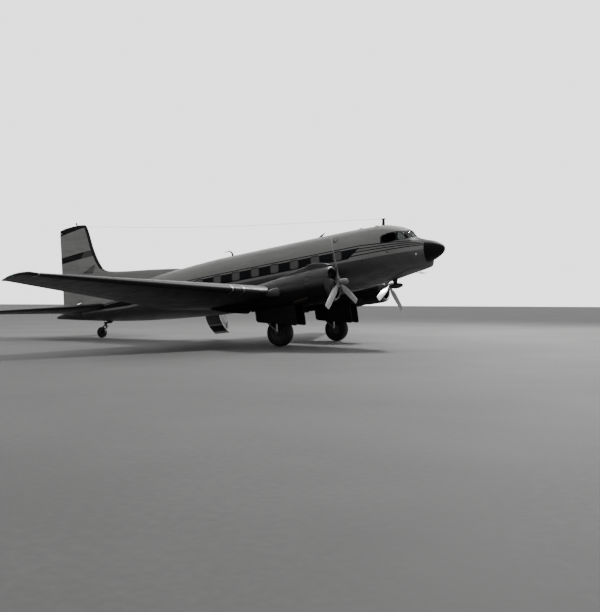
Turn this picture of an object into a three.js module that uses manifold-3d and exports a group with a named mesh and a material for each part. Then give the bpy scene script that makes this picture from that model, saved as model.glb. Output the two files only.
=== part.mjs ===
// Twin-engined propeller airliner standing on its tail-wheel landing gear.
// Lengths are millimetres. Aircraft stations are s (aft of the nose tip), y (to the left of the
// centre plane) and h (above the nose tip), with the aircraft level. The whole aircraft is then
// pitched nose-up as it parks, and moved so that the origin is under the middle of its box.
import * as THREE from 'three';
import { mergeVertices } from 'three/addons/utils/BufferGeometryUtils.js';
import Module from 'manifold-3d';

const wasm = await Module();
wasm.setup();

// Driving dimensions
const PARK_PITCH = THREE.MathUtils.degToRad(9);
const LENGTH = 20690;
const SEAM = 0.5;
const RUNNING_GAP = 12;
const NOSE_INSET = 3;
const NOSE_SIDES = 16;
const PIN_GAP = 0.4;
const ROD_TWIST = 0.17;
const BODY_SIDES = 28;
const WAIST = 0.48;

const MAIN_AXLE = { s: 6452, y: 2820, h: -2479 };
const MAIN_TYRE = { radius: 560, width: 400, rim: 300 };
const LEG = {
  spread: 272, topS: 6250, topH: -1165, kneeS: 6380, kneeH: -1900, upper: 62, lower: 48, eye: 75,
  eyeHalf: 40, bridgeS: 6262, bridgeH: -1240,
};
const BRACE = {
  topS: 7560, topH: -1160, rootH: -1000, footS: 6480, footH: -2400, crossS: 6900, crossH: -1965,
};
const GEAR_DOOR = { reach: 395, half: 14 };
const WHEEL_SIDES = 24;
const TAIL_SIDES = 18;
const TAIL_AXLE_S = 17930;
const FORK = { reach: 145, pinHalf: 150, lugHalf: 27 };
const TAIL_TYRE = { radius: 270, width: 210, rim: 130 };

const THRUST = { s: 3600, y: 2847, h: -895 };
const PROPELLER = { radius: 1750, blades: 3, chord: 228, dome: 420, hubBack: 130 };
const PROPELLER_PHASE = { right: 4.5, left: 111 };
const COWL = { front: 3800, back: 4760, radius: 710, mouth: 575, wall: 45 };
const SCOOP = { front: 3880, throatFront: 3820, throatBack: 4430, throatHalf: 165, lip: 12, roof: 68 };
const ENGINE = { sides: 18, cylinders: 9, row: 4170, cylinderSides: 7 };

const RADOME_JOINT = 700;
const CABIN_FRONT = 3300;
const TAIL_FRONT = 10900;
const CONE_FRONT = 18760;
const SKIN = 45;

const WING_JOINT = 4290;
const TIP_JOINT = 13000;
const HALF_SPAN = 13715;
const AILERON = { from: 8050, to: 12850, chord: 0.27 };
const FLAP = {
  hinge: 0.745, end: 0.955, thick: 16, bead: 7, flush: 1.5,
  innerFrom: 1500, innerTo: 4260, outerFrom: 4350, outerTo: 7900,
};

const DECK = { front: 1080, floor: -420, floorThick: 40, floorFront: 1350, floorBack: 3290 };
const PANEL = { front: 1450, back: 1530, half: 1100, low: 60, high: 520, standY: 260, standHalf: 40 };
const PEDESTAL = { front: 1500, back: 1900, half: 130, top: 150 };
const CREW_SEAT = {
  y: 470, half: 230, front: 2330, back: 2780, low: -60, high: 60, armY: 255, armHalf: 30, armTop: 250,
};
const COLUMN = { foot: 2075, head: 2000, top: 170, grip: 170, gripOut: 185, gripTop: 290, bar: 17 };

// The mast leans forward so that it stands upright on the parked aircraft
const MAST = { foot: 2450, head: 2405, top: 1661, half: 70, rise: 11 };
const LOOP = { s: 2290, h: -1190, foot: -900, sides: 14 };

const DOOR = { front: 11560, back: 12360, sill: -700, top: 700, open: 140, thick: 50 };

// Body outline: station, height of the top, height of the belly, half width
const BODY = [
  { s: RADOME_JOINT + SEAM, top: 463, belly: -670, half: 665 },
  { s: 1050, top: 630, belly: -735, half: 830 },
  { s: 1290, top: 970, belly: -770, half: 915 },
  { s: 1740, top: 1210, belly: -838, half: 1035 },
  { s: 2440, top: 1390, belly: -955, half: 1150 },
  { s: 3960, top: 1440, belly: -1105, half: 1240 },
  { s: 5200, top: 1445, belly: -1155, half: 1255 },
  { s: 9860, top: 1440, belly: -1155, half: 1255 },
  { s: 12700, top: 1340, belly: -990, half: 1130 },
  { s: 14910, top: 1190, belly: -790, half: 900 },
  { s: 17340, top: 950, belly: -470, half: 560 },
  { s: 19250, top: 640, belly: -150, half: 270 },
  { s: LENGTH, top: 250, belly: 110, half: 60 },
];
const RADOME = [
  { s: 0, top: 6, belly: -6, half: 6 },
  { s: 40, top: 110, belly: -120, half: 120 },
  { s: 140, top: 215, belly: -220, half: 235 },
  { s: 400, top: 360, belly: -360, half: 440 },
  { s: RADOME_JOINT, top: 460, belly: -458, half: 605 },
];

// Nacelle outline behind the cowl
const NACELLE = [
  { s: COWL.back + SEAM, top: -215, belly: -1575, half: 640 },
  { s: 5400, top: -250, belly: -1620, half: 620 },
  { s: 6300, top: -330, belly: -1640, half: 600 },
  { s: 7400, top: -460, belly: -1560, half: 560 },
  { s: 8500, top: -640, belly: -1370, half: 440 },
  { s: 9400, top: -860, belly: -1130, half: 250 },
];

// Engine outline of [station, radius] behind the shaft, and one cylinder's [radius, reach]
const CRANKCASE = [[3770, 60], [3770, 120], [3860, 170], [3990, 250], [4000, 270], [4330, 270],
  [4420, 330]];
const CYLINDER = [[0, 200], [84, 200], [84, 330], [116, 345], [104, 580], [0, 600]];

// Cowl lip from the mouth outwards: distance behind the cowl's front, radius
const COWL_LIP = [[30, COWL.mouth], [0, 615], [10, 650], [45, 674], [110, 697], [260, COWL.radius]];

// Air scoop over the cowl, seen from the thrust line: height of the top, half width, foot
const SCOOP_ROWS = [
  { s: SCOOP.front, top: COWL.radius + 45, half: 200, base: COWL.radius - 80 },
  { s: 4070, top: COWL.radius + 130, half: 210, base: COWL.radius - 25 },
  { s: 4490, top: COWL.radius + 195, half: 210, base: COWL.radius - 25 },
  { s: COWL.back, top: COWL.radius + 175, half: 205, base: COWL.radius - 60 },
];

// Propeller blade from the root: radius, chord, thickness, pitch in degrees
const BLADE = [
  { r: 100, chord: 110, thick: 110, pitch: 60 },
  { r: 300, chord: 115, thick: 95, pitch: 55 },
  { r: 480, chord: 190, thick: 62, pitch: 46 },
  { r: 800, chord: PROPELLER.chord, thick: 40, pitch: 35 },
  { r: 1300, chord: PROPELLER.chord, thick: 25, pitch: 25 },
  { r: 1650, chord: 222, thick: 16, pitch: 20 },
  { r: 1730, chord: 200, thick: 12, pitch: 19 },
  { r: PROPELLER.radius, chord: 150, thick: 8, pitch: 19 },
];

// Wing sections: span station, leading edge, trailing edge, their heights, thickness ratio
const WING = [
  { y: 0, le: 6350, te: 10700, hLe: -800, hTe: -900, thick: 0.15 },
  { y: WING_JOINT, le: 6350, te: 10700, hLe: -800, hTe: -900, thick: 0.15 },
  { y: TIP_JOINT, le: 9038, te: 10391, hLe: 0, hTe: 5, thick: 0.095 },
  { y: 13220, le: 9120, te: 10350, hLe: 50, hTe: 0, thick: 0.095 },
  { y: 13370, le: 9205, te: 10240, hLe: 50, hTe: -5, thick: 0.095 },
  { y: 13510, le: 9315, te: 10010, hLe: 40, hTe: -12, thick: 0.1 },
  { y: 13620, le: 9430, te: 9810, hLe: 20, hTe: -20, thick: 0.11 },
  { y: 13690, le: 9520, te: 9710, hLe: -5, hTe: -20, thick: 0.13 },
  { y: HALF_SPAN, le: 9575, te: 9665, hLe: -20, hTe: -20, thick: 0.14 },
];
const TIP_STATIONS = WING.map((section) => section.y).filter((y) => y >= TIP_JOINT);
const TAILPLANE = [
  { y: 0, le: 16920, te: 19900, hLe: 300, hTe: 285, thick: 0.11 },
  { y: 5300, le: 18870, te: 19860, hLe: 300, hTe: 285, thick: 0.09 },
  { y: 5520, le: 19020, te: 19830, hLe: 300, hTe: 288, thick: 0.08 },
  { y: 5620, le: 19250, te: 19760, hLe: 300, hTe: 291, thick: 0.06 },
];
const ELEVATOR = { hinge: 19110, from: 360, stations: [360, 1700, 3000, 4200, 5240], tube: 320 };

// Fin and dorsal fin with the rudder: height, leading edge, trailing edge, thickness
const FIN = [
  { h: 500, le: 12000, te: 20235, wide: 300 },
  { h: 1330, le: 12600, te: 20150, wide: 290 },
  { h: 1520, le: 13660, te: 20135, wide: 285 },
  { h: 2010, le: 17090, te: 20100, wide: 270 },
  { h: 2200, le: 17390, te: 20085, wide: 265 },
  { h: 3150, le: 17800, te: 20000, wide: 220 },
  { h: 4430, le: 18085, te: 19885, wide: 150 },
  { h: 4560, le: 18180, te: 19865, wide: 120 },
  { h: 4635, le: 18600, te: 19500, wide: 60 },
];
const RUDDER = {
  hinge: 18880, bottom: 790, stations: [560, 1520, 2010, 2200, 3150, 4425], post: 25,
  heel: { gap: 60, front: 735, back: 600 }, back: 20500,
};

// Shapes
const at = (s, y, h) => new THREE.Vector3(-s, y, h);

// A solid from a closed geometry, turned right side out
function solidOf(geometry) {
  geometry.deleteAttribute('normal');
  geometry.deleteAttribute('uv');
  const merged = mergeVertices(geometry, 1e-3);
  const index = Array.from(merged.index.array);
  const corner = (number) => new THREE.Vector3().fromBufferAttribute(merged.attributes.position,
    index[number]);
  let volume = 0;
  for (let face = 0; face < index.length; face += 3) {
    volume += corner(face).dot(corner(face + 1).cross(corner(face + 2)));
  }
  if (volume < 0) index.reverse();
  const mesh = new wasm.Mesh({
    numProp: 3,
    vertProperties: new Float32Array(merged.attributes.position.array),
    triVerts: new Uint32Array(index),
  });
  mesh.merge();
  return new wasm.Manifold(mesh);
}

function geometryOf(solid) {
  const mesh = solid.getMesh();
  const geometry = new THREE.BufferGeometry();
  const corners = new Float32Array(mesh.vertProperties);
  geometry.setAttribute('position', new THREE.BufferAttribute(corners, mesh.numProp));
  geometry.setIndex(new THREE.BufferAttribute(new Uint32Array(mesh.triVerts), 1));
  return geometry;
}

// A closed solid through rings of points, with fans over its two ends
function loft(rings) {
  const sides = rings[0].length;
  const points = rings.flat();
  const index = [];
  for (let ring = 0; ring < rings.length - 1; ring += 1) {
    for (let side = 0; side < sides; side += 1) {
      const a = ring * sides + side;
      const b = ring * sides + (side + 1) % sides;
      index.push(a, b, b + sides, a, b + sides, a + sides);
    }
  }
  for (const [ring, forward] of [[0, false], [rings.length - 1, true]]) {
    const middle = new THREE.Vector3();
    rings[ring].forEach((point) => middle.addScaledVector(point, 1 / sides));
    const hub = points.push(middle) - 1;
    for (let side = 0; side < sides; side += 1) {
      const a = ring * sides + side;
      const b = ring * sides + (side + 1) % sides;
      index.push(...(forward ? [a, b, hub] : [b, a, hub]));
    }
  }
  const geometry = new THREE.BufferGeometry().setFromPoints(points);
  geometry.setIndex(index);
  return solidOf(geometry);
}

function box(s, y, h) {
  const geometry = new THREE.BoxGeometry(s[1] - s[0], y[1] - y[0], h[1] - h[0]);
  geometry.translate(-(s[0] + s[1]) / 2, (y[0] + y[1]) / 2, (h[0] + h[1]) / 2);
  return solidOf(geometry);
}

// A round bar, turned a little so that its corners miss the planes of its neighbours
function rod(from, to, radius, endRadius = radius, sides = 16) {
  const line = to.clone().sub(from);
  const geometry = new THREE.CylinderGeometry(endRadius, radius, line.length(), sides, 1, false, ROD_TWIST);
  geometry.translate(0, line.length() / 2, 0);
  const turn = new THREE.Quaternion();
  turn.setFromUnitVectors(new THREE.Vector3(0, 1, 0), line.normalize());
  geometry.applyQuaternion(turn);
  geometry.translate(from.x, from.y, from.z);
  return solidOf(geometry);
}

// A closed profile of [station, radius] turned about the fore-and-aft axis
function turned(profile, sides) {
  const points = profile.map(([s, radius]) => new THREE.Vector2(radius, -s));
  return solidOf(new THREE.LatheGeometry(points, sides).rotateZ(-Math.PI / 2));
}

// A closed profile of [radius, y] turned about the axle
function wheelShape(profile, sides) {
  const points = profile.map(([radius, y]) => new THREE.Vector2(radius, y));
  return solidOf(new THREE.LatheGeometry(points, sides));
}

const joined = (solids) => solids.reduce((sum, next) => sum.add(next));

// Smooth value between the rows of a table, without overshoot
function between(table, key, column, where) {
  const last = table.length - 1;
  const slope = (row) => {
    if (row <= 0 || row >= last) return 0;
    const before = (table[row][column] - table[row - 1][column]) / (table[row][key] - table[row - 1][key]);
    const after = (table[row + 1][column] - table[row][column]) / (table[row + 1][key] - table[row][key]);
    return before * after <= 0 ? 0 : 2 * before * after / (before + after);
  };
  const edge = (row, step) => (table[row + step][column] - table[row][column])
    / (table[row + step][key] - table[row][key]);
  let row = 0;
  while (row < last - 1 && where > table[row + 1][key]) row += 1;
  const width = table[row + 1][key] - table[row][key];
  const t = (where - table[row][key]) / width;
  const slopeA = (row === 0 ? edge(0, 1) : slope(row)) * width;
  const slopeB = (row + 1 === last ? edge(last, -1) : slope(row + 1)) * width;
  const a = table[row][column];
  const b = table[row + 1][column];
  return a * (2 * t ** 3 - 3 * t ** 2 + 1) + slopeA * (t ** 3 - 2 * t ** 2 + t)
    + b * (3 * t ** 2 - 2 * t ** 3) + slopeB * (t ** 3 - t ** 2);
}

// One oval ring of a body outline, drawn in by an inset
function bodyRing(table, s, inset, middleY = 0) {
  const top = between(table, 's', 'top', s) - inset;
  const belly = between(table, 's', 'belly', s) + inset;
  const half = between(table, 's', 'half', s) - inset;
  const waist = belly + (top - belly) * WAIST;
  return Array.from({ length: BODY_SIDES }, (_, side) => {
    const angle = (side + 0.5) * 2 * Math.PI / BODY_SIDES;
    const reach = Math.sin(angle) > 0 ? top - waist : waist - belly;
    return at(s, middleY + half * Math.cos(angle), waist + reach * Math.sin(angle));
  });
}

function bodyLoft(table, stations, inset = 0, middleY = 0) {
  return loft(stations.map((s) => bodyRing(table, s, inset, middleY)));
}

const NOSE_STATIONS = [RADOME_JOINT + SEAM, 870, 1050, 1210, 1290, 1420, 1580, 1740, 2060, 2440, 3300];
const TAIL_STATIONS = [10900, 11900, 12900, 14000, 15200, 16400, 17600, 18760];
const CONE_STATIONS = [18760, 19250, 19900, 20500, LENGTH];

// Aerofoil: share of the chord, half thickness and camber line as shares of the thickest place
const CHORD_STEPS = [0, 0.012, 0.05, 0.13, 0.28, 0.46, 0.64, 0.82, 1];
const halfThickness = (x) => 5 * (0.2969 * Math.sqrt(x) - 0.126 * x - 0.3516 * x ** 2
  + 0.2843 * x ** 3 - 0.1015 * x ** 4);
const camber = (x) => (x < 0.4 ? 0.02 / 0.16 * (0.8 * x - x * x)
  : 0.02 / 0.36 * (0.2 + 0.8 * x - x * x));

function wingRing(section, side, grow, cambered) {
  const chord = section.te - section.le;
  const place = (x, up) => {
    const bend = cambered ? camber(x) * chord : 0;
    const half = halfThickness(x) * section.thick * chord + 3 + grow;
    const s = x === 0 ? section.le - grow : section.le + x * chord + (x === 1 ? grow : 0);
    const h = section.hLe + (section.hTe - section.hLe) * x + bend + (x === 0 ? 0 : up * half);
    return at(s, side * section.y, h);
  };
  const upper = [...CHORD_STEPS].reverse().map((x) => place(x, 1));
  const lower = CHORD_STEPS.slice(1).map((x) => place(x, -1));
  return [...upper, ...lower];
}

function sectionAt(table, y) {
  const columns = Object.keys(table[0]).filter((column) => column !== 'y');
  let row = 0;
  while (row < table.length - 2 && y > table[row + 1].y) row += 1;
  const t = (y - table[row].y) / (table[row + 1].y - table[row].y);
  const section = { y };
  for (const column of columns) {
    section[column] = table[row][column] + t * (table[row + 1][column] - table[row][column]);
  }
  const depth = (end) => end.thick * (end.te - end.le);
  section.thick = (depth(table[row]) * (1 - t) + depth(table[row + 1]) * t) / (section.te - section.le);
  return section;
}

// Value of a section's curve on the flat facets between its chord steps
function onFacets(curve, x) {
  const step = CHORD_STEPS.findIndex((share) => share >= x);
  const [low, high] = [CHORD_STEPS[step - 1], CHORD_STEPS[step]];
  return curve(low) + (curve(high) - curve(low)) * (x - low) / (high - low);
}

function wingLoft(table, side, stations, grow = 0, cambered = true) {
  return loft(stations.map((y) => wingRing(sectionAt(table, y), side, grow, cambered)));
}

// Height of the wing's surface at a share of the chord: up is 1 for the top, -1 for the underside
function wingHeight(section, x, up) {
  const chord = section.te - section.le;
  return section.hLe + (section.hTe - section.hLe) * x + onFacets(camber, x) * chord
    + up * (onFacets(halfThickness, x) * section.thick * chord + 3);
}

// A prism behind a hinge line, with a round nose about that line through its stations
function hingedRegion(stations, reach, deep, grow) {
  const first = stations[0].point;
  const last = stations[stations.length - 1].point;
  const along = last.clone().sub(first).normalize();
  const placed = stations.map(({ point, nose }) => {
    const beyond = point === first ? -grow : 0;
    return {
      point: point.clone().addScaledVector(along, point === last ? grow : beyond),
      radius: nose + grow - NOSE_INSET,
    };
  });
  const up = deep.clone().addScaledVector(along, -deep.dot(along)).normalize();
  const across = new THREE.Vector3().crossVectors(along, up);
  const circle = ({ point, radius }) => Array.from({ length: NOSE_SIDES }, (_, side) => {
    const angle = ROD_TWIST + side * 2 * Math.PI / NOSE_SIDES;
    return point.clone().addScaledVector(across, radius * Math.cos(angle))
      .addScaledVector(up, radius * Math.sin(angle));
  });
  const aft = across.x > 0 ? -1 : 1;
  const slab = ({ point }) => [[-grow, -1], [-grow, 1], [reach, 1], [reach, -1]]
    .map(([back, high]) => point.clone().addScaledVector(across, aft * back)
      .addScaledVector(up, high * deep.length()));
  return loft([slab(placed[0]), slab(placed[placed.length - 1])]).add(loft(placed.map(circle)));
}

// Coaxial round stubs at the two ends of a hinge line: the moving piece's and the fixed piece's
function hingeStubs(hingeA, hingeB, radius, reach = 60) {
  const along = hingeB.clone().sub(hingeA).normalize();
  const point = (from, distance) => from.clone().addScaledVector(along, distance);
  const out = RUNNING_GAP / 2;
  return {
    moving: rod(point(hingeA, -out), point(hingeA, 60), radius, radius, 8)
      .add(rod(point(hingeB, -60), point(hingeB, out), radius, radius, 8)),
    fixed: rod(point(hingeA, -reach), point(hingeA, -out - PIN_GAP), radius, radius, 8)
      .add(rod(point(hingeB, out + PIN_GAP), point(hingeB, reach), radius, radius, 8)),
  };
}

// Scene helpers
const aircraft = new THREE.Group();
aircraft.rotation.y = -PARK_PITCH;

function add(name, shape, look, place = null) {
  const material = new THREE.MeshStandardMaterial({
    color: look.color, roughness: look.roughness, metalness: look.metalness,
  });
  const mesh = new THREE.Mesh(geometryOf(shape), material);
  mesh.name = name;
  if (place) mesh.position.copy(place);
  aircraft.add(mesh);
  return mesh;
}

const PAINT = { color: 0xb9bcbf, roughness: 0.45, metalness: 0.1 };
const BARE = { color: 0x8d9092, roughness: 0.35, metalness: 0.9 };
const BLACK = { color: 0x17181a, roughness: 0.6, metalness: 0 };
const RUBBER = { color: 0x1b1b1c, roughness: 0.9, metalness: 0 };
const STEEL = { color: 0x7b7f83, roughness: 0.4, metalness: 0.8 };
const GLASS = { color: 0x8fa3ad, roughness: 0.08, metalness: 0 };
const GREEN = { color: 0x51594c, roughness: 0.75, metalness: 0 };
const SEAT = { color: 0x4c3f33, roughness: 0.85, metalness: 0 };

const SIDES = [{ name: 'right', side: -1 }, { name: 'left', side: 1 }];

// Wing centre section and its shadow in the body
const wingCentreFull = loft([
  wingRing({ ...WING[1] }, -1, 0, true), wingRing({ ...WING[1] }, 1, 0, true),
]);
const wingCentreGrown = loft([
  wingRing({ ...WING[1] }, -1, SEAM, true), wingRing({ ...WING[1] }, 1, SEAM, true),
]);
const bellyStrip = box([7150, 9350], [-1300, 1300], [-1300, -1000]);

// Nose with the hollow flight deck
const noseOuter = bodyLoft(BODY, NOSE_STATIONS);
const deckStations = [DECK.front, 1210, 1290, 1420, 1580, 1740, 2060, 2440, 3300 + SEAM];
const deckHollow = bodyLoft(BODY, deckStations, SKIN);

// Window cuts: two windscreen panes and two side panes on each side
function windowCuts(side) {
  const prism = (outline, inner, outer) => loft([inner, outer].map((y) => outline
    .map(([s, h]) => at(s, side * y, h))));
  const windscreen = loft([900, 1700].map((s) => [
    at(s, side * 45, 660 + (s - 900) * 0.12), at(s, side * 590, 560 + (s - 900) * 0.12),
    at(s, side * 520, 850 + (s - 900) * 0.12), at(s, side * 45, 930 + (s - 900) * 0.12)]));
  const quarter = prism([[1330, 560], [1640, 560], [1660, 900], [1440, 850]], 560, 1300);
  const slide = prism([[1720, 545], [2160, 530], [2250, 590], [2270, 800], [2200, 870], [1740, 900]],
    640, 1400);
  return joined([windscreen, quarter, slide]);
}
const deckInside = (inset) => bodyLoft(BODY, deckStations, SKIN + inset);
const glazingBand = deckInside(SEAM).subtract(deckInside(14))
  .intersect(box([1085, 2400], [-1400, 1400], [480, 1120]))
  .subtract(box([1950, 2500], [-450, 450], [0, 1400]));

const nose = noseOuter.subtract(deckHollow).subtract(windowCuts(-1)).subtract(windowCuts(1));
add('nose_section', nose, PAINT);
add('radome', bodyLoft(RADOME, [0, 40, 140, 250, 400, 580, RADOME_JOINT]), BLACK);
add('flight_deck_glass', glazingBand, GLASS);

const deckFloor = deckInside(SEAM)
  .intersect(box([DECK.floorFront, DECK.floorBack], [-1300, 1300],
    [DECK.floor - DECK.floorThick, DECK.floor]));
add('flight_deck_floor', deckFloor, GREEN);

const panelBox = deckInside(16)
  .intersect(box([PANEL.front, PANEL.back], [-PANEL.half, PANEL.half], [PANEL.low, PANEL.high]));
const panelStand = joined([-PANEL.standY, PANEL.standY].map((y) => box(
  [PANEL.front + 20, PANEL.back - 20], [y - PANEL.standHalf, y + PANEL.standHalf],
  [DECK.floor + SEAM, PANEL.low + 40])));
const pedestal = box([PEDESTAL.front, PEDESTAL.back], [-PEDESTAL.half, PEDESTAL.half],
  [DECK.floor + SEAM, PEDESTAL.top]);
add('instrument_panel', joined([panelBox, panelStand, pedestal]), BLACK);

const SEAT_BACK = [
  { h: 60, front: 2680, rear: 2800, half: 220 },
  { h: 420, front: 2760, rear: 2860, half: 220 },
  { h: 640, front: 2800, rear: 2880, half: 150 },
];
for (const { name, side } of SIDES) {
  const y = side * CREW_SEAT.y;
  const base = DECK.floor + SEAM;
  const cushion = box([CREW_SEAT.front, CREW_SEAT.back], [y - CREW_SEAT.half, y + CREW_SEAT.half],
    [CREW_SEAT.low, CREW_SEAT.high]);
  const back = loft(SEAT_BACK.map(({ h, front, rear, half }) => [at(front, y - half, h),
    at(front, y + half, h), at(rear, y + half, h), at(rear, y - half, h)]));
  const backFoot = box([SEAT_BACK[0].front, SEAT_BACK[0].rear - 10],
    [y - SEAT_BACK[0].half, y + SEAT_BACK[0].half], [CREW_SEAT.high - 40, CREW_SEAT.high + 20]);
  const frame = box([CREW_SEAT.front + 110, CREW_SEAT.back - 80], [y - 150, y + 150],
    [base, CREW_SEAT.low]);
  const arms = joined([-1, 1].map((hand) => box([CREW_SEAT.front + 70, CREW_SEAT.back - 20],
    [y + hand * CREW_SEAT.armY - CREW_SEAT.armHalf, y + hand * CREW_SEAT.armY + CREW_SEAT.armHalf],
    [CREW_SEAT.high - 40, CREW_SEAT.armTop])));
  add(`seat_${name}`, joined([cushion, back.add(backFoot), frame, arms]), SEAT);

  const column = rod(at(COLUMN.foot, y, base + 40), at(COLUMN.head, y, COLUMN.top), 32, 26, 10)
    .add(box([COLUMN.foot - 45, COLUMN.foot + 45], [y - 45, y + 45], [base, base + 60]));
  const wheelBar = joined([
    rod(at(COLUMN.head, y - COLUMN.grip, COLUMN.top), at(COLUMN.head, y + COLUMN.grip, COLUMN.top),
      COLUMN.bar, COLUMN.bar, 8),
    ...[-1, 1].map((hand) => rod(at(COLUMN.head, y + hand * COLUMN.grip, COLUMN.top - 20),
      at(COLUMN.head + 10, y + hand * COLUMN.gripOut, COLUMN.gripTop), COLUMN.bar, COLUMN.bar, 8))]);
  add(`control_column_${name}`, column.add(wheelBar), BLACK);
}

// Cabin
const cabin = bodyLoft(BODY, [CABIN_FRONT + SEAM, 3960, 5200, 9860, TAIL_FRONT])
  .subtract(wingCentreGrown).subtract(bellyStrip);
add('cabin_section', cabin, PAINT);

// Tail section with the entry lobby behind the open airstair
const lobby = bodyLoft(BODY, [DOOR.front - 250, 12100, DOOR.back + 250], DOOR.thick + 35)
  .intersect(box([DOOR.front - 250, DOOR.back + 250], [-900, 1300], [DOOR.sill, DOOR.top + 150]));
const doorway = box([DOOR.front - RUNNING_GAP, DOOR.back + RUNNING_GAP], [500, 1500],
  [DOOR.sill, DOOR.top + RUNNING_GAP]);
const tailBody = bodyLoft(BODY, [TAIL_FRONT + SEAM, ...TAIL_STATIONS.slice(1)]);
const tailplaneRoots = SIDES.map(({ side }) => wingLoft(TAILPLANE, side, [0, 2500], SEAM, false));
const tail = tailplaneRoots.reduce((rest, root) => rest.subtract(root),
  tailBody.subtract(lobby).subtract(doorway));

// Airstair door, drawn shut and then swung open about its sill
const doorMiddle = (DOOR.front + DOOR.back) / 2;
const skinY = (s, h) => {
  const belly = between(BODY, 's', 'belly', s);
  const waist = belly + (between(BODY, 's', 'top', s) - belly) * WAIST;
  return between(BODY, 's', 'half', s) * Math.sqrt(1 - ((waist - h) / (waist - belly)) ** 2);
};
const doorHinge = at(0, skinY(DOOR.front, DOOR.sill - 4) + 12, DOOR.sill - 4);
const doorSkin = bodyLoft(BODY, [DOOR.front - 100, doorMiddle, DOOR.back + 100])
  .subtract(bodyLoft(BODY, [DOOR.front - 200, doorMiddle, DOOR.back + 200], DOOR.thick))
  .intersect(box([DOOR.front, DOOR.back], [500, 1500], [DOOR.sill + RUNNING_GAP, DOOR.top]));
const steps = [-420, -130, 160, 450].map((h) => box([DOOR.front + 90, DOOR.back - 90],
  [760, 1300], [h - 15, h + 15]));
const stepsJoined = joined(steps).intersect(bodyLoft(BODY, [DOOR.front - 200, doorMiddle,
  DOOR.back + 200], 20));
const railS = DOOR.front + 60;
const railPath = new THREE.CatmullRomCurve3([[960, -560], [720, -470], [650, -330], [620, -90],
  [640, 220], [720, 350], [1080, 500]].map(([y, h]) => at(railS, y, h)));
const railRound = new THREE.Shape(Array.from({ length: 7 }, (_, corner) => new THREE.Vector2(20
  * Math.cos(corner * 2 * Math.PI / 7), 20 * Math.sin(corner * 2 * Math.PI / 7))));
const rail = solidOf(new THREE.ExtrudeGeometry(railRound, { steps: 14, extrudePath: railPath }));
const KNUCKLE = { radius: 8, long: 60, from: 80, lug: 30 };
const hingeRod = (s, long) => rod(at(s, doorHinge.y, doorHinge.z), at(s + long, doorHinge.y, doorHinge.z),
  KNUCKLE.radius, KNUCKLE.radius, 8);
const knuckles = joined([DOOR.front + KNUCKLE.from, DOOR.back - KNUCKLE.from - KNUCKLE.long].map((s) => {
  const inner = skinY(s, doorHinge.z) + 5;
  return hingeRod(s, KNUCKLE.long).add(box([s, s + KNUCKLE.long], [inner, doorHinge.y + KNUCKLE.radius],
    [doorHinge.z, DOOR.sill + 30]));
}));
const doorShut = joined([doorSkin, stepsJoined, rail, knuckles]);
const lugs = joined([DOOR.front + KNUCKLE.from - KNUCKLE.lug - PIN_GAP, DOOR.back - KNUCKLE.from + PIN_GAP]
  .map((s) => hingeRod(s, KNUCKLE.lug).add(box([s, s + KNUCKLE.lug],
    [skinY(s, doorHinge.z) - 40, doorHinge.y], [DOOR.sill - 12, DOOR.sill]))));
add('tail_section', tail.add(lugs), PAINT);
const doorGeometry = geometryOf(doorShut);
doorGeometry.translate(-doorHinge.x, -doorHinge.y, -doorHinge.z);
const airstair = new THREE.Mesh(doorGeometry, new THREE.MeshStandardMaterial({
  color: PAINT.color, roughness: PAINT.roughness, metalness: PAINT.metalness,
}));
airstair.name = 'airstair_door';
airstair.position.copy(doorHinge);
airstair.rotation.x = -THREE.MathUtils.degToRad(DOOR.open);
aircraft.add(airstair);

// Tail cone
const tailConeBody = bodyLoft(BODY, CONE_STATIONS.map((s, row) => (row === 0 ? s + SEAM : s)));
const tailRoot = TAILPLANE[0];
const elevatorH = tailRoot.hLe + (tailRoot.hTe - tailRoot.hLe)
  * (ELEVATOR.hinge - tailRoot.le) / (tailRoot.te - tailRoot.le);
const elevatorBoss = rod(at(ELEVATOR.hinge, -ELEVATOR.tube, elevatorH), at(ELEVATOR.hinge, ELEVATOR.tube,
  elevatorH), 34, 34, 12);
const rudderBoss = rod(at(RUDDER.hinge, 0, 500), at(RUDDER.hinge, 0, RUDDER.bottom - RUDDER.post),
  34, 34, 12);
add('tail_cone', joined([tailConeBody, elevatorBoss, rudderBoss]), PAINT);

// Wings with flaps and ailerons
const fullWing = (side, grow = 0) => wingLoft(WING, side, [WING_JOINT + SEAM, TIP_JOINT - SEAM], grow);

function flapShape(side, from, to, grow) {
  const ring = (y) => {
    const section = sectionAt(WING, y);
    const chord = section.te - section.le;
    return [[FLAP.hinge, -grow - 40], [FLAP.end, grow]].flatMap(([x, extra], edge) => {
      const low = wingHeight(section, x, -1);
      const s = section.le + x * chord + (grow === 0 ? 0 : extra + (edge === 0 ? 40 : 0));
      const top = at(s, side * y, low + FLAP.thick + grow);
      const under = at(s, side * y, low + (grow === 0 ? FLAP.flush : -60));
      return edge === 0 ? [under, top] : [top, under];
    });
  };
  return loft([ring(from - grow), ring(to + grow)]);
}

// Round bead along a flap's hinge line, and the stubs that carry it
function flapStubs(side, from, to) {
  const hinge = (y) => {
    const section = sectionAt(WING, y);
    return at(section.le + FLAP.hinge * (section.te - section.le), side * y,
      wingHeight(section, FLAP.hinge, -1));
  };
  return hingeStubs(hinge(from), hinge(to), FLAP.bead, 28);
}

const centreFlaps = joined(SIDES.map(({ side }) => flapShape(side, FLAP.innerFrom, FLAP.innerTo,
  RUNNING_GAP)));
const centreStubs = joined(SIDES.map(({ side }) => flapStubs(side, FLAP.innerFrom, FLAP.innerTo).fixed));
add('wing_centre', wingCentreFull.subtract(centreFlaps).add(centreStubs), BARE);

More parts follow.
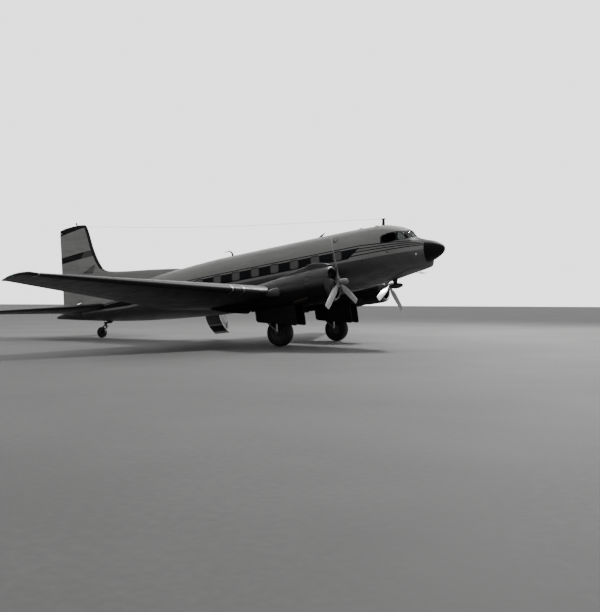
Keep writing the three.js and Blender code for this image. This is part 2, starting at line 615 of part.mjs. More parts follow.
for (const { name, side } of SIDES) {
  const hingeAt = (y) => {
    const section = sectionAt(WING, y);
    const x = 1 - AILERON.chord;
    const chord = section.te - section.le;
    return {
      point: at(section.le + x * chord, side * y,
        (wingHeight(section, x, 1) + wingHeight(section, x, -1)) / 2),
      nose: (wingHeight(section, x, 1) - wingHeight(section, x, -1)) / 2,
    };
  };
  const inner = hingeAt(AILERON.from);
  const outer = hingeAt(AILERON.to);
  const deep = new THREE.Vector3(0, 0, 400);
  const cut = hingedRegion([inner, outer], 1500, deep, RUNNING_GAP);
  const keep = hingedRegion([inner, outer], 1500, deep, 0);
  const flapCut = flapShape(side, FLAP.outerFrom, FLAP.outerTo, RUNNING_GAP);
  const aileronStubs = hingeStubs(inner.point, outer.point, 12);
  const outerStubs = flapStubs(side, FLAP.outerFrom, FLAP.outerTo);
  const innerStubs = flapStubs(side, FLAP.innerFrom, FLAP.innerTo);
  add(`wing_outer_${name}`, joined([fullWing(side).subtract(cut).subtract(flapCut),
    aileronStubs.fixed, outerStubs.fixed]), BARE);
  add(`aileron_${name}`, fullWing(side).intersect(keep).add(aileronStubs.moving), BARE);
  add(`flap_outer_${name}`, flapShape(side, FLAP.outerFrom, FLAP.outerTo, 0).add(outerStubs.moving), BARE);
  add(`flap_inner_${name}`, flapShape(side, FLAP.innerFrom, FLAP.innerTo, 0).add(innerStubs.moving), BARE);
  add(`wing_tip_${name}`, wingLoft(WING, side, TIP_STATIONS), BLACK);
}

// Tailplane and elevators
for (const { name, side } of SIDES) {
  const full = wingLoft(TAILPLANE, side, [SEAM, 5300, 5520, 5620], 0, false);
  const hingeAt = (y) => {
    const section = sectionAt(TAILPLANE, y);
    const chord = section.te - section.le;
    const x = (ELEVATOR.hinge - section.le) / chord;
    return {
      point: at(ELEVATOR.hinge, side * y, section.hLe + (section.hTe - section.hLe) * x),
      nose: onFacets(halfThickness, x) * section.thick * chord + 3,
    };
  };
  const stations = ELEVATOR.stations.map(hingeAt);
  const inner = stations[0];
  const outer = stations[stations.length - 1];
  const deep = new THREE.Vector3(0, 0, 300);
  const cut = hingedRegion(stations, 1000, deep, RUNNING_GAP);
  const keep = hingedRegion(stations, 1000, deep, 0);
  const inboard = box([CONE_FRONT - SEAM, 20100], [-ELEVATOR.from - 60, ELEVATOR.from + 60],
    [-100, 600]);
  const tubeIn = at(ELEVATOR.hinge, side * (ELEVATOR.tube + PIN_GAP), inner.point.z);
  const tube = rod(tubeIn, at(ELEVATOR.hinge, side * (ELEVATOR.from + 60), inner.point.z), 28, 28, 12);
  const tipStubs = hingeStubs(inner.point, outer.point, 14);
  const outerPin = tipStubs.fixed.subtract(box([18000, 20500], [-1000, 1000], [0, 600]));
  add(`tailplane_${name}`, full.subtract(cut).subtract(inboard).add(outerPin), BARE);
  add(`elevator_${name}`, full.intersect(keep).add(tube).add(tipStubs.moving), BARE);
}

// Fin, dorsal fin and rudder
function finRing(row) {
  const chord = row.te - row.le;
  const place = (x, side) => at(row.le + x * chord, side * (x === 0 ? 0
    : halfThickness(x) * row.wide + 4), row.h);
  return [...[...CHORD_STEPS].reverse().map((x) => place(x, 1)),
    ...CHORD_STEPS.slice(1).map((x) => place(x, -1))];
}
const finFull = loft(FIN.map(finRing));
const rudderStations = RUDDER.stations.map((h) => {
  const row = FIN.findIndex((next) => next.h >= h);
  const t = (h - FIN[row - 1].h) / (FIN[row].h - FIN[row - 1].h);
  const [le, te, wide] = ['le', 'te', 'wide']
    .map((column) => FIN[row - 1][column] * (1 - t) + FIN[row][column] * t);
  return {
    point: at(RUDDER.hinge, 0, h),
    nose: onFacets(halfThickness, (RUDDER.hinge - le) / (te - le)) * wide + 4,
  };
});
const rudderFoot = at(RUDDER.hinge, 0, RUDDER.bottom);
const rudderHead = rudderStations[rudderStations.length - 1].point;
const rudderDeep = new THREE.Vector3(0, 400, 0);
const rudderKeep = hingedRegion(rudderStations, 1600, rudderDeep, 0);
const rudderCut = hingedRegion(rudderStations, 1600, rudderDeep, RUNNING_GAP)
  .add(box([RUDDER.hinge, 20600], [-400, 400], [300, RUDDER.bottom + 50]));
const rudderWell = rod(at(RUDDER.hinge, 0, 300), at(RUDDER.hinge, 0, RUDDER.bottom), 40, 40, 12);
const heelFront = RUDDER.hinge + RUDDER.heel.gap;
const rudderUnder = box([18000, heelFront], [-400, 400], [300, RUDDER.bottom])
  .add(loft([-400, 400].map((y) => [at(heelFront - 1, y, RUDDER.heel.front),
    at(RUDDER.back, y, RUDDER.heel.back), at(RUDDER.back, y, 300), at(heelFront - 1, y, 300)])));
const bodyGrown = bodyLoft(BODY, [11000, ...TAIL_STATIONS.slice(1), ...CONE_STATIONS.slice(1)], -SEAM);
const rudderStubs = hingeStubs(rudderFoot, rudderHead, 14);
const rudderPin = rudderStubs.fixed.subtract(box([18000, 20500], [-300, 300], [0, 1500]));
const rudderPost = rod(at(RUDDER.hinge, 0, RUDDER.bottom - RUDDER.post + PIN_GAP), at(RUDDER.hinge, 0,
  RUDDER.bottom + 60), 24, 24, 12);
add('fin', finFull.subtract(rudderCut).subtract(rudderWell).subtract(bodyGrown).add(rudderPin), PAINT);
add('rudder', joined([finFull.intersect(rudderKeep).subtract(rudderUnder), rudderPost,
  rudderStubs.moving]), PAINT);

// Engines, cowls, propellers and nacelles
function engineShape() {
  const shaftFront = THRUST.s + PROPELLER.hubBack + PIN_GAP;
  const crankcase = turned([[shaftFront, 0], [shaftFront, 60], ...CRANKCASE, [COWL.back, 300],
    [COWL.back, 0]], ENGINE.sides);
  const outline = CYLINDER.map(([r, out]) => new THREE.Vector2(r, out));
  const cylinder = new THREE.LatheGeometry(outline, ENGINE.cylinderSides);
  const cylinders = Array.from({ length: ENGINE.cylinders }, (_, number) => solidOf(cylinder.clone()
    .rotateX(number * 2 * Math.PI / ENGINE.cylinders).translate(-ENGINE.row, 0, 0)));
  return joined([crankcase, ...cylinders]);
}

function cowlShape() {
  const r = COWL.radius;
  const lip = COWL_LIP.map(([back, radius]) => [COWL.front + back, radius]);
  const ring = turned([...lip, [COWL.back - 190, r], [COWL.back, r - 35], [COWL.back, r - 75],
    [COWL.back - 190, r - COWL.wall], [COWL.front + 260, r - COWL.wall],
    [COWL.front + 110, COWL.mouth + 55], lip[0]], 24);
  const scoopRing = ({ s, top, half, base }) => [[-half, base], [-half, top - 90], [-half + 60, top - 20],
    [-half + 120, top], [half - 120, top], [half - 60, top - 20], [half, top - 90], [half, base]]
    .map(([y, h]) => at(s, y, h));
  const throat = box([SCOOP.throatFront, SCOOP.throatBack], [-SCOOP.throatHalf, SCOOP.throatHalf],
    [r + SCOOP.lip, r + SCOOP.roof]);
  return ring.add(loft(SCOOP_ROWS.map(scoopRing))).subtract(throat);
}

function propellerShape() {
  const hub = turned([[-90, 0], [-90, 90], [-60, 150], [90, 150], [PROPELLER.hubBack, 110],
    [PROPELLER.hubBack, 0]], 16)
    .add(turned([[-PROPELLER.dome, 0], [-PROPELLER.dome + 12, 55], [-PROPELLER.dome + 60, 95],
      [-PROPELLER.dome + 150, 112], [-80, 118], [-80, 0]], 16));
  const bladeRing = (row, turn) => Array.from({ length: 8 }, (_, corner) => {
    const angle = corner * 2 * Math.PI / 8;
    const across = Math.cos(angle) * row.chord / 2;
    const through = Math.sin(angle) * row.thick / 2;
    const pitch = THREE.MathUtils.degToRad(row.pitch);
    const x = across * Math.sin(pitch) + through * Math.cos(pitch);
    const y = through * Math.sin(pitch) - across * Math.cos(pitch);
    return new THREE.Vector3(x, y, row.r).applyAxisAngle(new THREE.Vector3(1, 0, 0), turn);
  });
  const blades = Array.from({ length: PROPELLER.blades }, (_, number) => loft(BLADE
    .map((row) => bladeRing(row, number * 2 * Math.PI / PROPELLER.blades))));
  return joined([hub, ...blades]);
}

const WELL = { front: 5250, back: 7850, half: 350, roof: -900 };
const nacelleGrown = {};
const engine = engineShape();
const cowl = cowlShape();
const propeller = propellerShape();
for (const { name, side } of SIDES) {
  const nacelleFull = bodyLoft(NACELLE, NACELLE.map((row) => row.s), 0, side * THRUST.y);
  nacelleGrown[name] = bodyLoft(NACELLE, NACELLE.map((row) => row.s), -SEAM, side * THRUST.y);
  const well = box([WELL.front, WELL.back], [side * MAIN_AXLE.y - WELL.half, side * MAIN_AXLE.y + WELL.half],
    [-2000, WELL.roof]);
  const scoopTail = loft([[COWL.back + SEAM, -30, 200], [5300, -120, 190], [5900, -250, 120]]
    .map(([s, top, half]) => [[-half, -600], [-half, top - 70], [-half + 70, top], [half - 70, top],
      [half, top - 70], [half, -600]].map(([y, h]) => at(s, side * THRUST.y + y, h))));
  add(`nacelle_${name}`, nacelleFull.add(scoopTail).subtract(wingCentreGrown).subtract(well), BARE);
  add(`engine_${name}`, engine, STEEL, new THREE.Vector3(0, side * THRUST.y, THRUST.h));
  add(`cowl_${name}`, cowl, BARE, new THREE.Vector3(0, side * THRUST.y, THRUST.h));
  const prop = add(`propeller_${name}`, propeller, BARE, at(THRUST.s, side * THRUST.y, THRUST.h));
  prop.rotation.x = THREE.MathUtils.degToRad(PROPELLER_PHASE[name]);
}

// Main landing gear
const GEAR_DOOR_OUTLINE = [[5450, -1380], [5450, -2270], [5510, -2315], [7170, -1950], [7250, -1870],
  [7250, -1330]];
const flatDown = (sides) => PARK_PITCH + Math.PI / sides;
function tyreShape(size, sides) {
  const half = size.width / 2;
  const outer = Array.from({ length: 7 }, (_, step) => {
    const angle = -Math.PI / 2 + step * Math.PI / 6;
    const middle = (size.radius + size.rim) / 2;
    return [middle + (size.radius - middle) * Math.sign(Math.cos(angle)) * Math.abs(Math.cos(angle)) ** 0.8,
      half * Math.sign(Math.sin(angle)) * Math.abs(Math.sin(angle)) ** 0.8];
  });
  return wheelShape([[size.rim, -half * 0.7], ...outer, [size.rim, half * 0.7], [size.rim, -half * 0.7]],
    sides);
}
function wheelDisc(size, bore, sides) {
  const half = size.width / 2;
  const r = size.rim - SEAM;
  return wheelShape([[bore, -half * 0.72], [r * 0.3, -half * 0.72], [r * 0.45, -half * 0.3],
    [r * 0.88, -half * 0.38], [r, -half * 0.7], [r, half * 0.7], [r * 0.88, half * 0.38],
    [r * 0.45, half * 0.3], [r * 0.3, half * 0.72], [bore, half * 0.72], [bore, -half * 0.72]], sides);
}
const mainDisc = wheelDisc(MAIN_TYRE, 40.5, WHEEL_SIDES);
const mainTyreShape = tyreShape(MAIN_TYRE, WHEEL_SIDES);
for (const { name, side } of SIDES) {
  const y = side * MAIN_AXLE.y;
  const legs = joined([-1, 1].map((hand) => {
    const legY = y + hand * LEG.spread;
    return joined([
      rod(at(LEG.topS, legY, LEG.topH), at(LEG.kneeS, legY, LEG.kneeH), LEG.upper, LEG.upper, 8),
      rod(at(LEG.kneeS, legY, LEG.kneeH), at(MAIN_AXLE.s, legY, MAIN_AXLE.h), LEG.lower, LEG.lower, 8),
      rod(at(MAIN_AXLE.s, legY - LEG.eyeHalf, MAIN_AXLE.h),
        at(MAIN_AXLE.s, legY + LEG.eyeHalf, MAIN_AXLE.h), LEG.eye, LEG.eye, 12)]);
  }));
  const axle = rod(at(MAIN_AXLE.s, y - LEG.spread, MAIN_AXLE.h), at(MAIN_AXLE.s, y + LEG.spread,
    MAIN_AXLE.h), 40, 40, 10);
  const trunnionHalf = WELL.half - PIN_GAP;
  const bridge = rod(at(LEG.bridgeS, y - trunnionHalf, LEG.bridgeH),
    at(LEG.bridgeS, y + trunnionHalf, LEG.bridgeH), 60, 60, 10);
  add(`gear_legs_${name}`, joined([legs, axle, bridge]), STEEL);

  const braceTop = (hand) => at(BRACE.topS, y + hand * LEG.spread, BRACE.topH);
  const brace = joined([
    ...[-1, 1].map((hand) => rod(braceTop(hand), at(BRACE.footS, y + hand * LEG.spread, BRACE.footH),
      34, 34, 8)),
    rod(braceTop(-1), braceTop(1), 40, 40, 8),
    ...[-1, 1].map((hand) => rod(braceTop(hand), at(BRACE.topS, y + hand * LEG.spread, BRACE.rootH),
      30, 30, 8)),
    rod(at(BRACE.crossS, y - LEG.spread, BRACE.crossH), at(BRACE.crossS, y + LEG.spread, BRACE.crossH),
      28, 28, 8)]);
  const legRoom = joined([-1, 1].map((hand) => {
    const legY = y + hand * LEG.spread;
    return rod(at(LEG.kneeS, legY, LEG.kneeH), at(MAIN_AXLE.s, legY, MAIN_AXLE.h), LEG.lower + SEAM,
      LEG.lower + SEAM, 8).add(rod(at(MAIN_AXLE.s, legY - LEG.eyeHalf - 1, MAIN_AXLE.h),
      at(MAIN_AXLE.s, legY + LEG.eyeHalf + 1, MAIN_AXLE.h), LEG.eye + SEAM, LEG.eye + SEAM, 12));
  }));
  add(`gear_brace_${name}`, brace.subtract(legRoom).subtract(wingCentreGrown), STEEL);

  const wheel = add(`main_wheel_${name}`, mainDisc, BARE, at(MAIN_AXLE.s, y, MAIN_AXLE.h));
  const tyre = add(`main_tyre_${name}`, mainTyreShape, RUBBER, wheel.position);
  wheel.rotation.y = flatDown(WHEEL_SIDES);
  tyre.rotation.y = flatDown(WHEEL_SIDES);

  for (const [place, hand] of [['inner', -side], ['outer', side]]) {
    const face = y + hand * GEAR_DOOR.reach;
    const door = loft([face - GEAR_DOOR.half, face + GEAR_DOOR.half]
      .map((doorY) => GEAR_DOOR_OUTLINE.map(([s, h]) => at(s, doorY, h))));
    add(`gear_door_${place}_${name}`, door.subtract(nacelleGrown[name]), BARE);
  }
}

// Tail wheel on its swivelling fork
const tailAxleH = MAIN_AXLE.h + (TAIL_TYRE.radius - MAIN_TYRE.radius
  + (TAIL_AXLE_S - MAIN_AXLE.s) * Math.sin(PARK_PITCH)) / Math.cos(PARK_PITCH);
const PIVOT = { s: 17640, h: -646 };
const strut = joined([
  rod(at(17150, 0, -440), at(PIVOT.s, 0, -550), 70, 60, 14),
  rod(at(PIVOT.s, 0, -470), at(PIVOT.s, 0, PIVOT.h + PIN_GAP), 62, 62, 16)]);
add('tail_strut', strut.subtract(bodyGrown), STEEL);
const forkArms = joined([-1, 1].map((hand) => joined([
  rod(at(PIVOT.s, hand * FORK.reach, -675), at(TAIL_AXLE_S, hand * FORK.reach, tailAxleH), 30, 28, 10),
  rod(at(TAIL_AXLE_S, hand * (FORK.reach - FORK.lugHalf), tailAxleH),
    at(TAIL_AXLE_S, hand * (FORK.reach + FORK.lugHalf), tailAxleH), 45, 45, 12)])));
const forkHead = rod(at(PIVOT.s, 0, PIVOT.h), at(PIVOT.s, 0, -700), 90, 90, 16)
  .add(box([PIVOT.s - 50, PIVOT.s + 50], [-175, 175], [-700, -650]));
const tailPin = rod(at(TAIL_AXLE_S, -FORK.pinHalf, tailAxleH), at(TAIL_AXLE_S, FORK.pinHalf, tailAxleH),
  22, 22, 12);
add('tail_fork', joined([forkArms, forkHead, tailPin]), STEEL);
const tailDisc = add('tail_wheel', wheelDisc(TAIL_TYRE, 22.7, TAIL_SIDES), BARE,
  at(TAIL_AXLE_S, 0, tailAxleH));
const tailTyre = add('tail_tyre', tyreShape(TAIL_TYRE, TAIL_SIDES), RUBBER, tailDisc.position);
tailDisc.rotation.y = flatDown(TAIL_SIDES);
tailTyre.rotation.y = flatDown(TAIL_SIDES);

// Antennas and probes
const mast = joined([rod(at(MAST.foot, 0, 1380), at(MAST.head, 0, MAST.top), 40, 24, 10),
  rod(at(MAST.head - MAST.half, 0, MAST.top - MAST.rise), at(MAST.head + MAST.half, 0,
    MAST.top + MAST.rise), 20, 20, 8)]);
const crown = bodyLoft(BODY, [1740, 2060, 2440, 3300], -SEAM);
add('antenna_mast', mast.subtract(crown), BLACK);
const LOOP_BODY = [[1980, 30], [2050, 75], [2200, 110], [2350, 105], [2480, 70], [2570, 25]];
const loopBody = loft(LOOP_BODY.map(([s, radius]) => Array.from({ length: LOOP.sides }, (_, corner) => {
  const angle = corner * 2 * Math.PI / LOOP.sides;
  return at(s, radius * Math.cos(angle), LOOP.h + radius * Math.sin(angle));
})));
const loopStalk = loft([[LOOP.foot, 92, 34], [LOOP.h, 66, 28]].map(([h, long, wide]) => Array.from(
  { length: LOOP.sides }, (_, corner) => {
    const angle = (corner + 0.5) * 2 * Math.PI / LOOP.sides;
    return at(LOOP.s + long * Math.cos(angle), wide * Math.sin(angle), h);
  })));
add('loop_antenna', loopBody.add(loopStalk).subtract(crown), BLACK);

// Stand the aircraft on the ground with the origin under the middle of its box
const aeroplane = new THREE.Group();
aeroplane.add(aircraft);
aeroplane.updateMatrixWorld(true);
const bounds = new THREE.Box3().setFromObject(aeroplane, true);
const middle = bounds.getCenter(new THREE.Vector3());
aircraft.position.set(-middle.x, -middle.y, -bounds.min.z);

export default aeroplane;
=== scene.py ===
# %% [markdown]
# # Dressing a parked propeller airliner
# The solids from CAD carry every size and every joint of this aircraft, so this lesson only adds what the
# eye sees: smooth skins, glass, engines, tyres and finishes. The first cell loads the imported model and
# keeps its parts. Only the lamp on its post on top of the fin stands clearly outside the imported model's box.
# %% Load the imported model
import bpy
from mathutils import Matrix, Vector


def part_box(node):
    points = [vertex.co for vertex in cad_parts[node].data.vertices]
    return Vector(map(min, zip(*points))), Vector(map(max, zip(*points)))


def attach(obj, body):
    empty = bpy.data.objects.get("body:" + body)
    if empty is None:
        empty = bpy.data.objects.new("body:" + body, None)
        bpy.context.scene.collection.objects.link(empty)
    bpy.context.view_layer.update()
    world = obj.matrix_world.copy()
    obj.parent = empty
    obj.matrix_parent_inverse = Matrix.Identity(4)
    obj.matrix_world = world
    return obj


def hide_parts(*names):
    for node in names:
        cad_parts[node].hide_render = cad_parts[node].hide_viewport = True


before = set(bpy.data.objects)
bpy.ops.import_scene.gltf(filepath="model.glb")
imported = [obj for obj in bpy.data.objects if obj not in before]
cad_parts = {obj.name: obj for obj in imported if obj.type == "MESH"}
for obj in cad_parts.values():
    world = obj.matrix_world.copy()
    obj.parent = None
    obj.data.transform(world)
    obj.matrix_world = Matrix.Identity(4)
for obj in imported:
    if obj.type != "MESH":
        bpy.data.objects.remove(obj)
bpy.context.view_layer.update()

import bmesh
import bpy
import numpy as np
from mathutils import Matrix

# %% [markdown]
# ## Aircraft stations
# Draughtsmen measure an aircraft level, in stations aft of the nose, to the left of the centre plane and
# above the nose tip. This one parks nose-up on its tail wheel, so one function turns level stations into
# the parked frame about the main axle. Every shape below can then be drawn with the aircraft level.
# %% Turn level stations into the parked frame
PARK_PITCH = np.radians(9.0)
AXLE_S, AXLE_Y, AXLE_H = 6.452, 2.820, -2.479
AXLE_ROW = np.mean([np.array(corner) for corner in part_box("main_tyre_right")], axis=0)


def parked(points):
    """Row-frame points of aircraft points (s, y, h): turned by the park pitch about the main axle."""
    s, y, h = np.moveaxis(np.asarray(points, float), -1, 0)
    ahead, above = AXLE_S - s, h - AXLE_H
    x = AXLE_ROW[0] + ahead * np.cos(PARK_PITCH) - above * np.sin(PARK_PITCH)
    z = AXLE_ROW[2] + ahead * np.sin(PARK_PITCH) + above * np.cos(PARK_PITCH)
    return np.stack([x, y, z], -1)


print("nose tip in the row frame:", parked([0, 0, 0]).round(3))

# %% [markdown]
# ## Grids into meshes
# Nearly every piece is a grid of points: rows along the piece, columns around it. A shape is a small
# dictionary of points, four-cornered faces and texture coordinates, so that shapes can be joined,
# mirrored and moved as whole arrays. The texture coordinates are real lengths in metres, which keeps
# rivets and panel lines at their true spacing on every skin.
# %% Build shapes from grids of points


def lengths_over(points, wrap):
    """Texture coordinates of a grid: metres along its rows and metres across its columns."""
    closed = np.concatenate([points, points[:, :1]], 1) if wrap else points
    across = np.cumsum(np.linalg.norm(np.diff(closed, axis=1), axis=2), axis=1)
    across = np.pad(across, ((0, 0), (1, 0)))
    along = np.cumsum(np.linalg.norm(np.diff(closed, axis=0), axis=2).max(axis=1))
    along = np.pad(along, (1, 0))[:, None] * np.ones_like(across)
    return np.stack([along, across], -1)


def sheet(points, uv=None, wrap=False):
    """A shape over a grid of points (rows, columns, 3): one quad between each four neighbours."""
    points = np.asarray(points, float)
    rows, columns = points.shape[:2]
    uv = lengths_over(points, wrap) if uv is None else uv
    i, j = np.meshgrid(np.arange(rows - 1), np.arange(columns if wrap else columns - 1), indexing="ij")
    k = (j + 1) % columns
    faces = np.stack([i * columns + j, i * columns + k, (i + 1) * columns + k, (i + 1) * columns + j], -1)
    corners = np.stack([uv[i, j], uv[i, j + 1], uv[i + 1, j + 1], uv[i + 1, j]], -2)
    return {"points": points.reshape(-1, 3), "faces": faces.reshape(-1, 4), "uv": corners.reshape(-1, 4, 2)}


def join(*shapes):
    """One shape from several, with the face numbers shifted past the points before them."""
    starts = np.cumsum([0] + [len(shape["points"]) for shape in shapes[:-1]])
    return {
        "points": np.concatenate([shape["points"] for shape in shapes]),
        "faces": np.concatenate([shape["faces"] + start for shape, start in zip(shapes, starts)]),
        "uv": np.concatenate([shape["uv"] for shape in shapes]),
    }


def mirrored(shape):
    """The same shape on the other side: y changes sign and each face runs the other way."""
    return {"points": shape["points"] * [1, -1, 1], "faces": shape["faces"][:, ::-1],
            "uv": shape["uv"][:, ::-1]}


def moved(shape, offset):
    """The shape shifted by an offset (s, y, h)."""
    return {**shape, "points": shape["points"] + np.asarray(offset, float)}


def turned(shape, angle, axis, about=(0, 0, 0)):
    """The shape turned by an angle in degrees about an axis through a point, by a rotation matrix."""
    matrix = np.array(Matrix.Rotation(np.radians(angle), 3, axis))
    about = np.asarray(about, float)
    return {**shape, "points": (shape["points"] - about) @ matrix.T + about}


def loft(rings, capped=True):
    """A closed tube through rings (count, sides, 3), with a fan to the middle of each end ring."""
    rings = np.asarray(rings, float)
    if capped:
        first = np.broadcast_to(rings[0].mean(0), rings[0].shape)
        last = np.broadcast_to(rings[-1].mean(0), rings[-1].shape)
        rings = np.concatenate([[first], rings, [last]])
    return sheet(rings, wrap=True)


def frame_along(direction):
    """Two unit vectors square to a direction and to each other."""
    direction = np.asarray(direction, float) / np.linalg.norm(direction)
    other = np.array([0, 0, 1.0]) if abs(direction[2]) < 0.8 else np.array([1.0, 0, 0])
    side = np.cross(direction, other)
    side /= np.linalg.norm(side)
    return side, np.cross(direction, side)


def lathe(profile, centre, axis, sides=48):
    """A profile of (distance along the axis, radius) turned about the axis through a centre."""
    profile = np.asarray(profile, float)
    axis = np.asarray(axis, float) / np.linalg.norm(axis)
    side, up = frame_along(axis)
    angle = np.arange(sides) * 2 * np.pi / sides
    round_ = np.cos(angle)[:, None] * side + np.sin(angle)[:, None] * up
    points = np.asarray(centre) + profile[:, 0, None, None] * axis + profile[:, 1, None, None] * round_
    return sheet(points, wrap=True)


def smooth_path(points, count):
    """Points along a Catmull-Rom curve, which passes through every given point."""
    points = np.asarray(points, float)
    padded = np.concatenate([[2 * points[0] - points[1]], points, [2 * points[-1] - points[-2]]])
    where = np.linspace(0, len(points) - 1 - 1e-9, count)
    k = where.astype(int)
    t = (where - k)[:, None]
    a, b, c, d = (padded[k + step] for step in range(4))
    return 0.5 * (2 * b + (c - a) * t + (2 * a - 5 * b + 4 * c - d) * t ** 2 + (3 * b - a - 3 * c + d) * t ** 3)


def tube(path, radius, sides=12):
    """A round bar along a path; at each point its ring is square to the path there."""
    path = np.asarray(path, float)
    radius = np.broadcast_to(radius, len(path))
    along = np.gradient(path, axis=0)
    along /= np.linalg.norm(along, axis=1)[:, None]
    side, _ = frame_along(along.mean(0) + [1e-4, 2e-4, 3e-4])
    across = side - (along @ side)[:, None] * along
    across /= np.linalg.norm(across, axis=1)[:, None]
    up = np.cross(along, across)
    angle = np.arange(sides) * 2 * np.pi / sides
    ring = np.cos(angle)[:, None] * across[:, None] + np.sin(angle)[:, None] * up[:, None]
    return loft(path[:, None] + radius[:, None, None] * ring)


def cord(points, count, radius, sides=12):
    """A tube of so many rings along the smooth path through a few points."""
    return tube(smooth_path(points, count), radius, sides)


def bar(start, end, radius, sides=16):
    """A straight round bar between two points, with its two end edges slightly rounded."""
    start, end = np.asarray(start, float), np.asarray(end, float)
    long, soft = np.linalg.norm(end - start), radius * 0.12
    profile = [(0, 0), (0, radius - soft), (soft, radius), (long - soft, radius), (long, radius - soft), (long, 0)]
    return lathe(profile, start, end - start, sides)


def rounded(width, height, radius, corner_steps=4):
    """Outline of a rectangle with round corners, as (across, up) about its middle."""
    quarter = np.linspace(0, np.pi / 2, corner_steps + 1)
    corners = []
    for number, (x, y) in enumerate([(1, 1), (-1, 1), (-1, -1), (1, -1)]):
        angle = quarter + number * np.pi / 2
        middle = np.array([x * (width / 2 - radius), y * (height / 2 - radius)])
        corners.append(middle + radius * np.stack([np.cos(angle), np.sin(angle)], -1))
    return np.concatenate(corners)


def plate(front, back, soft=0.0):
    """A slab between two matching outlines, with a fan on each face and a narrow chamfer round both."""
    front, back = np.asarray(front, float), np.asarray(back, float)
    inward = [outline + (outline.mean(0) - outline) * soft for outline in (front, back)]
    depth = (back - front) * min(0.45, 2 * soft)
    return loft([inward[0], front + depth, back - depth, inward[1]] if soft else [front, back])


def block(s, y, h, soft=0.0):
    """A box from its two ends along s, y and h."""
    low, high = np.sort(np.array([s, y, h], float), axis=1).T
    ring = np.array([[0, 0, 0], [1, 0, 0], [1, 1, 0], [0, 1, 0]], float)
    lower = low + ring * (high - low)
    upper = lower + [0, 0, high[2] - low[2]]
    return plate(lower, upper, soft)


def between(table, column, where):
    """Values between a table's rows on a monotone cubic: each slope is the harmonic mean beside it."""
    x, v = table[:, 0], table[:, column]
    rise = np.diff(v) / np.diff(x)
    slope = np.zeros_like(v)
    slope[0], slope[-1] = rise[0], rise[-1]
    same = rise[:-1] * rise[1:] > 0
    total = np.where(same, rise[:-1] + rise[1:], 1.0)
    slope[1:-1] = np.where(same, 2 * rise[:-1] * rise[1:] / total, 0)
    where = np.asarray(where, float)
    k = np.clip(np.searchsorted(x, where, side="right") - 1, 0, len(x) - 2)
    width = x[k + 1] - x[k]
    t = (where - x[k]) / width
    return (v[k] * (2 * t ** 3 - 3 * t ** 2 + 1) + slope[k] * width * (t ** 3 - 2 * t ** 2 + t)
            + v[k + 1] * (3 * t ** 2 - 2 * t ** 3) + slope[k + 1] * width * (t ** 3 - t ** 2))


# %% [markdown]
# ## From shapes to pieces
# A shape becomes a Blender object once: its points are turned into the parked frame, doubled points at
# poles are merged, and all faces are made to point outwards. Edges sharper than an angle stay crisp and
# the rest shade smoothly, which is how pressed sheet metal looks. The piece then rides on its body and
# takes the place of the solids that it dresses.
# %% Turn shapes into pieces that ride on bodies


def mesh_of(name, shape, tidy=True):
    """A mesh in the parked frame from a shape, with its lengths kept in a UV map called skin."""
    mesh = bpy.data.meshes.new(name)
    points = parked(shape["points"])
    faces = shape["faces"]
    mesh.vertices.add(len(points))
    mesh.vertices.foreach_set("co", points.astype(np.float32).ravel())
    mesh.loops.add(faces.size)
    mesh.loops.foreach_set("vertex_index", faces.astype(np.int32).ravel())
    mesh.polygons.add(len(faces))
    mesh.polygons.foreach_set("loop_start", np.arange(0, faces.size, 4, dtype=np.int32))
    layer = mesh.uv_layers.new(name="skin")
    layer.data.foreach_set("uv", shape["uv"].astype(np.float32).ravel())
    mesh.update(calc_edges=True)
    mesh.validate()
    if tidy:
        settle(mesh)
    return mesh


def settle(mesh, distance=1e-5):
    """Merges doubled points, drops empty faces and turns every face outwards."""
    work = bmesh.new()
    work.from_mesh(mesh)
    bmesh.ops.remove_doubles(work, verts=work.verts, dist=distance)
    bmesh.ops.dissolve_degenerate(work, edges=work.edges, dist=1e-6)
    bmesh.ops.recalc_face_normals(work, faces=work.faces)
    work.to_mesh(mesh)
    work.free()


def cut(mesh, cutters):
    """The mesh less each cutter, by exact booleans, as a carpenter drills after turning."""
    body = bpy.data.objects.new("being_cut", mesh)
    bpy.context.collection.objects.link(body)
    tools = []
    for number, cutter in enumerate(cutters):
        tool = bpy.data.objects.new(f"cutter_{number}", cutter)
        bpy.context.collection.objects.link(tool)
        tools.append(tool)
        step = body.modifiers.new(f"cut_{number}", "BOOLEAN")
        step.operation, step.solver, step.object = "DIFFERENCE", "EXACT", tool
    depsgraph = bpy.context.evaluated_depsgraph_get()
    result = bpy.data.meshes.new_from_object(body.evaluated_get(depsgraph))
    for spare in [body, *tools]:
        bpy.data.objects.remove(spare)
    return result


def piece(name, source, material, body="airframe", stands_for=(), sharp=35.0):
    """A named object from a shape or a mesh, riding on a body and standing for CAD nodes."""
    mesh = mesh_of(name, source) if isinstance(source, dict) else source
    mesh.name = name
    mesh.materials.clear()
    mesh.materials.append(material)
    mesh.polygons.foreach_set("use_smooth", np.ones(len(mesh.polygons), bool))
    mesh.set_sharp_from_angle(angle=np.radians(sharp))
    thing = bpy.data.objects.new(name, mesh)
    bpy.context.collection.objects.link(thing)
    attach(thing, body)
    if stands_for:
        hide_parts(*stands_for)
    return thing


SIDES = {"right": -1, "left": 1}


def both(shape_of):
    """The shapes that a function draws for the right and the left side, as one."""
    return join(*[shape_of(side) for side in SIDES.values()])


# %% [markdown]
# ## Node helpers
# A finish is a small graph of nodes. Written out node by node it would fill pages, so a value on its way
# through the graph is wrapped in a class that knows plus, minus, times and divided by. Short helpers add a
# node, mix two colours, read a noise, and make a soft step from one value to another.
# %% Shorthand for shader nodes


